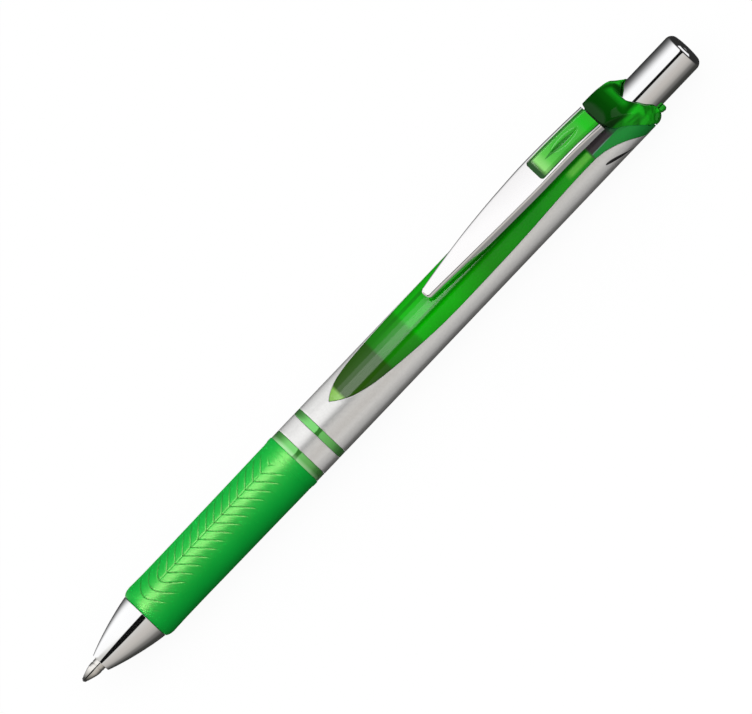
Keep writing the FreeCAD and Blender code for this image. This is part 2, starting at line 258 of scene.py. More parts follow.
def metal(name, c0, c1, r0, r1, grain=900.0, stretch=(1, 1, 1), dist=1.2e-6, sheen_noise=60.0):
    """Plated or satin metal: slightly uneven colour and polish, and a fine grain."""
    m, nt, b = new_mat(name)
    v = coords(nt, stretch)
    big = noise(nt, v, sheen_noise, 2.0)
    fine = noise(nt, v, grain, 4.0, 0.6)
    nt.links.new(two_colours(nt, ranged(nt, big, 0, 1), c0, c1), b.inputs["Base Color"])
    mix = nt.nodes.new("ShaderNodeMath")
    mix.operation = "ADD"
    nt.links.new(ranged(nt, fine, 0, (r1 - r0) * 0.6), mix.inputs[0])
    nt.links.new(ranged(nt, big, r0, r0 + (r1 - r0) * 0.4), mix.inputs[1])
    nt.links.new(mix.outputs[0], b.inputs["Roughness"])
    b.inputs["Metallic"].default_value = 1.0
    bump(nt, b, fine, dist, 0.5)
    return m


def plastic(name, c0, c1, r0, r1, trans=0.0, ior=1.49, grain=1500.0, cloud=120.0, dist=1.0e-6, coat=0.0, spec=0.5):
    """Moulded plastic: faint clouding of the colour, flow marks in the polish."""
    m, nt, b = new_mat(name)
    v = coords(nt)
    big = noise(nt, v, cloud, 3.0)
    fine = noise(nt, v, grain, 3.0)
    nt.links.new(two_colours(nt, ranged(nt, big, 0, 1), c0, c1), b.inputs["Base Color"])
    nt.links.new(ranged(nt, fine, r0, r1), b.inputs["Roughness"])
    b.inputs["Transmission Weight"].default_value = trans
    b.inputs["IOR"].default_value = ior
    b.inputs["Specular IOR Level"].default_value = spec
    b.inputs["Coat Weight"].default_value = coat
    b.inputs["Coat Roughness"].default_value = 0.03
    bump(nt, b, fine, dist, 0.4)
    return m


M = {}
M["chrome"] = metal("mirror_chrome", (0.80, 0.80, 0.81), (0.85, 0.85, 0.86), 0.03, 0.06, 500, (1, 1, 1), 3e-7)
M["chrome_clip"] = metal("mirror_chrome_clip", (0.80, 0.79, 0.795), (0.84, 0.83, 0.835), 0.06, 0.11, 700, (0.25, 1, 1), 5e-7)
M["ball"] = metal("polished_ball", (0.16, 0.16, 0.17), (0.20, 0.20, 0.21), 0.06, 0.14, 6000, (1, 1, 1), 4e-7)
M["spring"] = metal("spring_wire", (0.55, 0.55, 0.57), (0.66, 0.66, 0.68), 0.2, 0.32, 3000, (1, 1, 1), 1e-6)


def satin(name, cloud):
    """Silver lacquer: metal flake under a thin matt varnish."""
    m, nt, b = new_mat(name)
    v = coords(nt)
    big = noise(nt, v, cloud, 2.0)
    flake = noise(nt, v, 9000, 2.0, 0.7)
    mid = noise(nt, v, 2500, 3.0, 0.6)
    nt.links.new(two_colours(nt, ranged(nt, mid, 0, 1), (0.78, 0.775, 0.765), (0.84, 0.835, 0.825)), b.inputs["Base Color"])
    nt.links.new(ranged(nt, big, 0.31, 0.37), b.inputs["Roughness"])
    nt.links.new(ranged(nt, flake, 0.62, 0.74), b.inputs["Metallic"])
    bump(nt, b, flake, 1.6e-6, 0.5)
    return m


M["satin"] = satin("satin_silver", 40)
M["satin_band"] = satin("satin_silver_band", 55)
M["tube"] = plastic("clear_refill_tube", (0.78, 0.86, 0.78), (0.84, 0.90, 0.84), 0.10, 0.16, trans=0.75, ior=1.35)
M["ink"] = plastic("dark_green_ink", (0.004, 0.060, 0.012), (0.008, 0.085, 0.02), 0.12, 0.2)
M["follower"] = plastic("clear_follower_grease", (0.45, 0.72, 0.30), (0.55, 0.80, 0.38), 0.10, 0.2, trans=0.4)
M["tail"] = plastic("natural_tail_plug", (0.60, 0.66, 0.58), (0.68, 0.74, 0.66), 0.25, 0.38, dist=2e-6)
M["natural"] = plastic("natural_moulded_plastic", (0.62, 0.66, 0.60), (0.70, 0.74, 0.68), 0.25, 0.38, dist=2e-6)
M["cam"] = plastic("grey_acetal_cam", (0.10, 0.105, 0.11), (0.14, 0.145, 0.15), 0.30, 0.42, dist=2e-6)
M["rotor"] = plastic("green_acetal_rotor", (0.32, 0.62, 0.10), (0.42, 0.72, 0.16), 0.25, 0.38, dist=2e-6)
M["guide"] = plastic("green_cam_guide", (0.20, 0.58, 0.06), (0.30, 0.68, 0.10), 0.2, 0.32, trans=0.3)
M["root"] = plastic("dark_green_clip_root", (0.004, 0.05, 0.005), (0.006, 0.07, 0.007), 0.25, 0.4)
M["dark_print"] = plastic("black_print_ink", (0.012, 0.012, 0.013), (0.022, 0.022, 0.024), 0.25, 0.4)


def along(nt, stops, smooth=0.0):
    """Colour by station along the pen; the object's own X is in metres from the frame's origin."""
    tc = nt.nodes.new("ShaderNodeTexCoord")
    sp = nt.nodes.new("ShaderNodeSeparateXYZ")
    nt.links.new(tc.outputs["Object"], sp.inputs[0])
    mr = nt.nodes.new("ShaderNodeMapRange")
    mr.inputs["From Min"].default_value = X_TIP
    mr.inputs["From Max"].default_value = X_TIP + 0.145
    nt.links.new(sp.outputs["X"], mr.inputs["Value"])
    cr = nt.nodes.new("ShaderNodeValToRGB")
    el = cr.color_ramp.elements
    while len(el) > 1:
        el.remove(el[-1])
    first = True
    for x, col in stops:
        e = el[0] if first else el.new(min(1.0, x / 145.0))
        if first:
            el[0].position = x / 145.0
        first = False
        e.color = (*col, 1)
    nt.links.new(mr.outputs["Result"], cr.inputs["Fac"])
    return cr.outputs["Color"], sp


def place(nt):
    """Stations along the pen in mm, and the angle from the clip's plane in degrees, both sides alike."""
    tc = nt.nodes.new("ShaderNodeTexCoord")
    sp = nt.nodes.new("ShaderNodeSeparateXYZ")
    nt.links.new(tc.outputs["Object"], sp.inputs[0])

    def mth(op, a, b=None, c=None):
        q = nt.nodes.new("ShaderNodeMath")
        q.operation = op
        for k, s in enumerate((a, b, c)):
            if s is None:
                continue
            if isinstance(s, (int, float)):
                q.inputs[k].default_value = s
            else:
                nt.links.new(s, q.inputs[k])
        return q.outputs[0]
    x = mth("MULTIPLY_ADD", sp.outputs["X"], 1000.0, -X_TIP * 1000.0)
    y = mth("MULTIPLY", mth("ABSOLUTE", sp.outputs["Y"]), 1000.0)
    z = mth("MULTIPLY_ADD", sp.outputs["Z"], 1000.0, -AXIS_Z * 1000.0)
    a = mth("MULTIPLY", mth("ARCTAN2", y, z), 180 / math.pi)
    return x, y, a, mth


def between(mth, v, lo, hi, soft_lo, soft_hi):
    """1 inside lo..hi, falling to 0 over the soft widths."""
    up = mth("MINIMUM", mth("MAXIMUM", mth("DIVIDE", mth("SUBTRACT", v, lo), soft_lo), 0.0), 1.0)
    dn = mth("MINIMUM", mth("MAXIMUM", mth("DIVIDE", mth("SUBTRACT", hi, v), soft_hi), 0.0), 1.0)
    return mth("MULTIPLY", up, dn)


def barrel_tones_and_painted_shade(nt):
    x, y, a, mth = place(nt)
    lens = mth("MULTIPLY", between(mth, x, 115.3, 120.95, 1.2, 0.3), between(mth, a, 26.0, 43.0, 4.0, 5.0))
    rear = between(mth, x, 121.0, 131.9, 0.2, 0.1)
    deep = mth("MULTIPLY", rear, between(mth, a, 39.0, 200.0, 1.0, 1.0))
    line = mth("MULTIPLY", between(mth, x, 121.0, 126.0, 0.2, 2.0), between(mth, a, 37.6, 40.4, 0.9, 0.9))
    # painted shade: a half-strength dark band 16 to 27.5 degrees from the clip's plane on both sides, stations 72 to
    # 121, stands for the clip's shadow on the barrel
    painted_clip_shadow = mth("MULTIPLY", mth("MULTIPLY", between(mth, x, 72.0, 121.0, 10.0, 0.2), between(mth, a, 16.0, 27.5, 1.0, 3.0)), 0.5)
    return ((painted_clip_shadow, (0.002, 0.12, 0.001)), (lens, (0.22, 1.0, 0.10)), (deep, (0.022, 0.52, 0.075)), (line, (0.24, 0.55, 0.38)))


def inlay_painted_shade(nt):
    x, y, a, mth = place(nt)
    # painted shade: the sunk border round the pad, past 2 mm from the middle and ahead of station 113, is painted
    # nearly black-green
    rim = mth("SUBTRACT", 1.0, mth("MULTIPLY", between(mth, y, -1.0, 2.00, 0.1, 0.28), between(mth, x, 113.0, 130.0, 0.3, 0.1)))
    # painted shade: a strip up to 0.42 mm each side of the middle, stations 115 to 122.2, is painted darker green along
    # the spindle groove
    u = mth("DIVIDE", mth("SUBTRACT", x, 118.6), 3.6)
    w_ = mth("MULTIPLY", mth("SUBTRACT", 1.0, mth("MULTIPLY", u, u)), 0.42)
    slot = mth("LESS_THAN", y, w_)
    return ((mth("MULTIPLY", slot, 0.85), (0.006, 0.22, 0.006)), (rim, (0.003, 0.075, 0.003)))


def collar_tones_and_painted_light(nt):
    x, y, a, mth = place(nt)
    tc = nt.nodes.new("ShaderNodeTexCoord")
    mp = nt.nodes.new("ShaderNodeMapping")
    mp.inputs["Rotation"].default_value = (0.0, 0.0, 0.6)
    mp.inputs["Scale"].default_value = (1.0, 2.6, 2.6)
    nt.links.new(tc.outputs["Object"], mp.inputs["Vector"])
    n = noise(nt, mp.outputs["Vector"], 260, 1.5, 0.5)
    n = ranged(nt, n, 0.0, 1.0, 0.42, 0.60)
    # painted light: from about 30 degrees off the clip's plane round the far side the collar is painted bright green in
    # streaky noise patches, leaving the top dark; patch_ paints a mid-green patch on the top between stations 129.9 and
    # 131.8
    low = between(mth, a, 29.0, 200.0, 8.0, 1.0)
    lit = mth("MULTIPLY", low, mth("MULTIPLY_ADD", n, 0.7, 0.3))
    patch_ = mth("MULTIPLY", mth("MULTIPLY", between(mth, x, 129.9, 131.8, 1.0, 0.6), between(mth, a, -5.0, 26.0, 1.0, 9.0)), 0.8)
    return ((lit, (0.022, 0.72, 0.024)), (patch_, (0.01, 0.42, 0.014)))


def green(name, stops, r0, r1, trans, metallic=None, ior=1.49, coat=None, spec=0.5, cloud=110.0, vary=0.12, coat_ior=1.5, marks=None):
    """Translucent green plastic whose depth of colour follows what lies behind it; the marks masks lay painted shade
    and painted light over it.
    """
    m, nt, b = new_mat(name)
    v = coords(nt)
    col, sp = along(nt, stops)
    big = noise(nt, v, cloud, 3.0)
    fine = noise(nt, v, 1500, 3.0)
    mul = nt.nodes.new("ShaderNodeMix")
    mul.data_type = "RGBA"
    mul.blend_type = "MULTIPLY"
    mul.inputs["Factor"].default_value = 1.0
    for mask, tone in (marks(nt) if marks else ()):
        q = nt.nodes.new("ShaderNodeMix")
        q.data_type = "RGBA"
        nt.links.new(mask, q.inputs["Factor"])
        nt.links.new(col, q.inputs["A"])
        q.inputs["B"].default_value = (*tone, 1)
        col = q.outputs["Result"]
    nt.links.new(col, mul.inputs["A"])
    nt.links.new(two_colours(nt, ranged(nt, big, 0, 1), (1 - vary,) * 3, (1, 1, 1)), mul.inputs["B"])
    nt.links.new(mul.outputs["Result"], b.inputs["Base Color"])
    nt.links.new(ranged(nt, fine, r0, r1), b.inputs["Roughness"])
    b.inputs["Transmission Weight"].default_value = trans
    b.inputs["IOR"].default_value = ior
    b.inputs["Specular IOR Level"].default_value = spec
    b.inputs["Coat Weight"].default_value = 0.0
    b.inputs["Coat Roughness"].default_value = 0.03
    b.inputs["Coat IOR"].default_value = coat_ior
    if coat:
        ct, _ = along(nt, [(x, (k, k, k)) for x, k in coat])
        nt.links.new(ct, b.inputs["Coat Weight"])
    if metallic:
        mt, _ = along(nt, [(x, (k, k, k)) for x, k in metallic])
        nt.links.new(mt, b.inputs["Metallic"])
    bump(nt, b, fine, 6e-7, 0.4)
    return m


def point_mat():
    """Turned metal, painted dark round the ball and along the taper: painted shade."""
    m, nt, b = new_mat("turned_point_metal")
    v = coords(nt, (6, 0.6, 0.6))
    # painted shade: near black up to 0.7 mm from the ball, brightening to the plain metal by 2.2 mm
    col, _ = along(nt, [(0, (0.05, 0.05, 0.05)), (0.70, (0.08, 0.08, 0.08)), (1.2, (0.34, 0.33, 0.31)), (2.2, (0.74, 0.72, 0.69)), (145, (0.80, 0.78, 0.74))])
    fine = noise(nt, v, 2600, 4.0, 0.6)
    nt.links.new(col, b.inputs["Base Color"])
    nt.links.new(ranged(nt, fine, 0.06, 0.14), b.inputs["Roughness"])
    b.inputs["Metallic"].default_value = 1.0
    bump(nt, b, fine, 8e-7, 0.5)
    return m


M["point"] = point_mat()
M["barrel"] = green("green_translucent_barrel",
                    [(0, (0.04, 0.36, 0.02)), (50.9, (0.36, 0.80, 0.32)), (51.35, (0.34, 0.76, 0.30)), (51.5, (0.12, 0.50, 0.095)), (60.0, (0.12, 0.50, 0.095)),
                     (61.6, (0.30, 0.68, 0.10)), (63.6, (0.36, 0.78, 0.13)), (63.9, (0.040, 0.13, 0.008)), (72.6, (0.028, 0.15, 0.006)), (73.1, (0.014, 0.32, 0.004)), (79.2, (0.012, 0.40, 0.003)),
                     (79.8, (0.004, 0.66, 0.002)), (88, (0.005, 0.72, 0.002)), (96, (0.012, 0.48, 0.003)), (106, (0.006, 0.50, 0.006)), (115.3, (0.012, 0.62, 0.008)),
                     (120.8, (0.012, 0.50, 0.008)), (121.1, (0.10, 0.08, 0.09)), (125.5, (0.08, 0.07, 0.075)), (126.5, (0.01, 0.26, 0.06)), (132, (0.008, 0.34, 0.06))],
                    0.03, 0.06, 0.30, spec=0.10, marks=barrel_tones_and_painted_shade)
M["ring"] = green("green_ring_gloss",
                  [(0, (0.36, 0.80, 0.32)), (50.9, (0.36, 0.80, 0.32)), (51.35, (0.30, 0.74, 0.27)), (51.5, (0.11, 0.60, 0.085)), (145, (0.11, 0.60, 0.085))],
                  0.03, 0.06, 0.0, metallic=[(0, 0.35), (51.2, 0.35), (51.6, 0.62), (145, 0.62)], spec=0.5, coat=[(0, 1.0), (145, 1.0)], coat_ior=1.78)
# painted shade: the stops keep the sunk border ahead of station 113.2 nearly black-green
M["inlay"] = green("green_translucent_inlay",
                   [(112.0, (0.004, 0.055, 0.004)), (113.20, (0.005, 0.065, 0.005)), (113.50, (0.35, 0.90, 0.22)), (114.2, (0.30, 0.86, 0.20)), (115.6, (0.10, 0.66, 0.06)), (118, (0.05, 0.56, 0.035)),
                    (122.3, (0.045, 0.56, 0.03)), (123.6, (0.004, 0.66, 0.004)), (125.5, (0.02, 0.55, 0.012))],
                   0.04, 0.08, 0.10, spec=0.30, marks=inlay_painted_shade)
M["collar"] = green("dark_green_translucent_collar",
                    [(125.5, (0.002, 0.042, 0.002)), (128.6, (0.002, 0.075, 0.002)), (130.0, (0.003, 0.13, 0.003)), (131.6, (0.003, 0.11, 0.003)), (135.4, (0.003, 0.07, 0.003))],
                    0.03, 0.06, 0.12, ior=1.5, spec=0.10, marks=collar_tones_and_painted_light)


def rubber_mat():
    m, nt, b = new_mat("ribbed_green_rubber")
    v = coords(nt)
    big = noise(nt, v, 90, 3.0)
    fine = noise(nt, v, 7000, 4.0, 0.65)
    mid = noise(nt, v, 1800, 3.0)
    at = nt.nodes.new("ShaderNodeAttribute")
    at.attribute_name = "rib_groove_shade"
    unshaded_rubber_green = two_colours(nt, ranged(nt, big, 0, 1), (0.002, 0.44, 0.044), (0.004, 0.50, 0.054))
    # painted shade: the base green is mixed towards deep green by the per-point groove value from grip(), darkening the
    # rib grooves and the spine
    low = nt.nodes.new("ShaderNodeMix")
    low.data_type = "RGBA"
    low.inputs["B"].default_value = (0.002, 0.14, 0.012, 1)
    nt.links.new(at.outputs["Fac"], low.inputs["Factor"])
    nt.links.new(unshaded_rubber_green, low.inputs["A"])
    nt.links.new(low.outputs["Result"], b.inputs["Base Color"])
    nt.links.new(ranged(nt, mid, 0.33, 0.42), b.inputs["Roughness"])
    b.inputs["Specular IOR Level"].default_value = 0.07
    b.inputs["Specular Tint"].default_value = (0.95, 1.0, 0.5, 1)
    bump(nt, b, fine, 3e-6, 0.5)
    return m


M["rubber"] = rubber_mat()

# ------------------------------------------------------------------------- stations
R_SLEEVE, R_UNDER, R_RING = 5.235, 4.75, 5.225
WIN_X = [61.5, 61.9, 62.5, 63.8, 65.0, 66.6, 68.6, 72.6, 76.6, 80.6, 84.7, 88.9, 98.4, 104.7, 112.3, 117.9, 120.7,
         122.3, 123.9, 125.9, 127.9, 129.5, 131.0, 131.8, 132.04]
WIN_A = [0.0, 3.9, 9.3, 18.5, 25.4, 31.2, 36.9, 43.7, 48.7, 52.9, 55.6, 56.4, 55.5, 53.7, 49.9, 48.5, 48.6,
         50.6, 55.2, 65.0, 81.0, 103.0, 129.0, 154.0, 180.0]
win = pchip(WIN_X, WIN_A)           # half angle of the window, by station
EDGE_Z = [5.20, 5.14, 4.49, 4.00, 3.38, 1.19, -0.74, -3.3, -4.9, -5.32]
EDGE_X = [125.72, 125.80, 126.7, 127.9, 128.9, 130.9, 132.1, 132.9, 133.08, 133.1]
edge_x_of_z = pchip([-z for z in EDGE_Z], EDGE_X)


def collar_front(deg):
    """Station of the collar's front edge at an angle from the clip's plane."""
    return edge_x_of_z(-5.32 * np.cos(np.radians(deg)))


# ---------------------------------------------------------------------- turned pieces
CONE = [(4.2, 3.45), (4.96, 4.08), (5.62, 4.56), (6.29, 4.99), (6.95, 5.41), (7.61, 5.82), (8.27, 6.22), (8.93, 6.60),
        (9.59, 6.96), (10.26, 7.31), (10.92, 7.64), (11.58, 7.94), (12.24, 8.23), (12.9, 8.50), (13.56, 8.76),
        (14.23, 9.00), (14.9, 9.22)]
cx = np.array([c[0] for c in CONE]); cd = np.array([c[1] for c in CONE])
fit = np.polyfit(cx, cd, 4)
outer = [(x, np.polyval(fit, x) / 2.0) for x in np.linspace(4.36, 14.72, 46)]
r0, r1 = np.polyval(fit, 4.2) / 2.0, np.polyval(fit, 14.9) / 2.0
prof = [(4.2, 1.25, 0.04), (4.2, r0 - 0.02, 0.10)]
prof += [(x, r) for x, r in outer]
prof += [(14.9, r1, 0.07), (14.9, 3.40, 0.05)]
x = 15.5
while x < 21.0:
    prof += [(x, 3.40, 0.05), (x + 0.30, 3.62, 0.06), (x + 0.55, 3.62, 0.06), (x + 0.85, 3.40, 0.05)]
    x += 1.0
prof += [(21.9, 3.40, 0.12), (21.9, 2.85, 0.08), (11.5, 2.76, 0.0), (11.5, 1.95, 0.0), (5.9, 1.95), (5.6, 1.25)]
lathe("nose_cone_chrome", fillet(prof, seg=4), M["chrome"], "nose", seg=224, replaces=("nose_cone",), slot="cone_chrome", sharp=38)

# metal point: crimped lip, needle, shoulder, shank
prof = [(0.20, 0.375), (0.19, 0.395, 0.01), (0.24, 0.42), (0.34, 0.436), (0.48, 0.465), (0.60, 0.50), (0.66, 0.56, 0.03), (0.90, 0.63),
        (1.30, 0.76), (1.90, 0.955), (2.55, 1.11, 0.2), (3.05, 1.148), (3.30, 1.148, 0.02), (3.34, 1.10, 0.02),
        (3.46, 1.10, 0.02), (3.50, 1.148, 0.02), (9.6, 1.148), (9.6, 0.42), (2.4, 0.42), (1.6, 0.15), (0.70, 0.15)]
prof += [(0.35 + 0.365 * math.cos(a), 0.365 * math.sin(a)) for a in np.linspace(math.radians(36), math.radians(112), 7)]
lathe("refill_point_turned", fillet(prof, seg=4), M["point"], "refill", seg=128, replaces=("refill_point",), slot="point_metal", sharp=40)

# knock: straight chrome cup with a rounded, barely crowned end
prof = [(124.6, 3.20, 0.03), (124.6, 3.38, 0.05), (125.0, 3.595, 0.1)]
prof += [(x, 3.595) for x in np.linspace(127, 143.0, 9)]
prof += [(143.46 + 1.40 * math.sin(a), 3.595 - 1.40 + 1.40 * math.cos(a)) for a in np.linspace(0, math.radians(84), 16)]
prof += [(144.90, 1.95), (144.955, 1.4), (144.985, 0.7), (144.99, 0.0), (144.54, 0.0), (144.49, 1.7, 0.3), (143.7, 2.9, 0.4),
         (142.6, 3.20, 0.3)]
lathe("knock_button_chrome", fillet(prof, seg=4), M["chrome"], "knock", seg=224, replaces=("knock_button",), slot="knock_chrome", sharp=45)

# silver band between the two green rings
prof = [(52.46, 4.77), (52.46, 5.235, 0.07)] + [(x, 5.235) for x in np.linspace(52.8, 55.7, 6)] + [(56.04, 5.235, 0.07), (56.04, 4.77)]
lathe("silver_band_ring", fillet(prof, seg=5), M["satin_band"], "barrel", seg=224, replaces=("lower_band",), slot="silver_band")


# ----------------------------------------------------------------------------- grip
def grip():
    """Rubber sleeve: crisp rims at both ends and moulded chevron ribs that point to the tip."""
    gx = [14.95, 15.35, 15.9, 16.3, 17.2, 20.0, 23.0, 30.0, 40.0, 46.0, 49.0, 49.45, 49.66, 49.80, 50.45, 50.62]
    gr = [4.66, 4.92, 5.10, 5.165, 5.14, 5.085, 5.08, 5.12, 5.17, 5.215, 5.24, 5.255, 5.31, 5.335, 5.335, 5.28]
    base = pchip(gx, gr)
    n_a = 400
    a = np.linspace(0, 360, n_a, endpoint=False)
    xs = np.concatenate([np.linspace(14.97, 16.3, 12), np.arange(16.4, 48.6, 0.075), np.linspace(48.65, 50.66, 26)])
    A, Xs = np.meshgrid(a, xs, indexing="ij")
    psi = np.abs((A + 180) % 360 - 180)
    s = np.radians(psi) * 5.15
    # the rib lines run back from the clip's plane at about 37 degrees; near the tip they are arcs
    soft = 1.5 * sstep(24.0, 19.0, Xs) + 0.04
    lag = 0.78 * (np.sqrt(s**2 + soft**2) - soft)
    lag = np.minimum(lag, 0.78 * 3.4 + 0.25 * (lag - 0.78 * 3.4))
    pitch = 1.875
    ph = ((Xs - 16.2 - lag) / pitch) % 1.0
    groove = np.exp(-(((ph - 0.5) / 0.060) ** 2))
    scale = ((ph + 0.5) % 1.0)
    side = 1 - sstep(2.5, 4.4, s)
    fade = sstep(16.3, 17.4, Xs) * (1 - sstep(46.6, 48.3, Xs))
    spine = 0.06 * np.exp(-((s / 0.09) ** 2)) * sstep(20.5, 22.0, Xs) * (1 - sstep(43.5, 45.0, Xs))
    ring = 0.045 * (np.exp(-(((Xs - 48.75) / 0.10) ** 2)) + np.exp(-(((Xs - 16.15) / 0.10) ** 2)))
    R = base(Xs) - fade * (side * (0.085 * groove + 0.075 * (1 - scale)) + spine) - ring
    # painted shade: how far to darken the rib grooves and the spine towards deep green, on the clip's side of the grip
    dark = np.clip(fade * (side * groove * 0.75 + (spine / 0.06) * 0.45), 0, 1)
    outer = pol(Xs, R, A)
    ends = np.array([(50.70, 5.22), (50.70, 4.62), (50.70, 4.41), (33.0, 4.41), (15.9, 4.41), (14.96, 4.08), (14.95, 4.35), (14.95, 4.63)])
    back = pol(ends[None, :, 0], ends[None, :, 1], a[:, None])
    v = np.concatenate([outer, back], 1)
    ob = build("rubber_grip_ribbed", v, grid_faces(n_a, v.shape[1], True, True), M["rubber"], "barrel",
               replaces=("grip_sleeve",), slot="grip_rubber", sharp=50, merge=0)
    at = ob.data.attributes.new("rib_groove_shade", "FLOAT", "POINT")
    tone = np.concatenate([dark, np.zeros((n_a, len(ends)))], 1).reshape(-1)
    at.data.foreach_set("value", tone.astype(np.float32))
    return ob


grip()


# ------------------------------------------------------------------- silver sleeve
def x_rows(x0, x1):
    """Stations: close together at the ends and at the window's point, wider along the straight."""
    r = np.concatenate([
        [57.43, 57.445, 57.47, 57.50], np.arange(57.9, 61.3, 0.4), [61.40, 61.47, 61.5], np.arange(61.54, 62.5, 0.08),
        np.arange(62.5, 66, 0.18), np.arange(66, 121, 0.55), np.arange(121, 130.6, 0.2), 132.04 - 1.44 * (1 - np.linspace(0, 1, 26) ** 0.5)[::1] ** 1.0])
    r = np.unique(np.round(r, 5))
    return r[(r >= x0) & (r <= x1)]


def sleeve():
    xs = x_rows(57.43, 132.03)
    n_a = 168
    t = np.linspace(0, 1, n_a)
    rows_o, rows_i = [], []
    for xx in xs:
        w = float(win(xx)) if xx > 61.5 else 0.0
        open_ = min(1.0, max(0.0, (xx - 61.5) / 0.12))
        front = max(0.0, 1 - (xx - 57.43) / 0.07)
        top = R_SLEEVE - 0.07 * (1 - math.sqrt(max(0.0, 1 - front**2)))
        a = w + t * (360 - 2 * w)
        arc = np.radians(np.minimum(a - w, 360 - w - a)) * R_SLEEVE
        # a small round on the cut edge
        e = np.clip(1 - arc / 0.09, 0, 1) * open_
        near = np.array([0.0, 0.018, 0.045, 0.09, 0.16]) / R_SLEEVE * 180 / math.pi
        if open_ > 0 and 180 - w > 3:
            a[1:5], a[-5:-1] = w + near[1:], (360 - w - near[1:])[::-1]
            arc = np.radians(np.minimum(a - w, 360 - w - a)) * R_SLEEVE
            e = np.clip(1 - arc / 0.09, 0, 1) * open_
        R = top - 0.09 * (1 - np.sqrt(np.clip(1 - e**2, 0, 1)))
        rows_o.append(pol(xx, R, a))
        rows_i.append(pol(xx, 4.785, a))
    O, I = np.array(rows_o), np.array(rows_i)
    n, m = O.shape[:2]
    v = np.concatenate([O.reshape(-1, 3), I.reshape(-1, 3)])
    f = grid_faces(n, m) + [[q[3] + n * m, q[2] + n * m, q[1] + n * m, q[0] + n * m] for q in grid_faces(n, m)]
    for i in range(n - 1):          # the cut edges of the window
        if xs[i] >= 61.5 - 1e-6:
            for j in (0, m - 1):
                a, b = i * m + j, (i + 1) * m + j
                f.append([a, b, b + n * m, a + n * m])
    for j in range(m - 1):          # the two ends
        f.append([j, j + 1, j + 1 + n * m, j + n * m])
        a = (n - 1) * m + j
        f.append([a, a + 1, a + 1 + n * m, a + n * m])
    return build("silver_sleeve_windowed", v, f, M["satin"], "barrel", replaces=("barrel_sleeve",), slot="silver_sleeve", sharp=40)


sleeve()


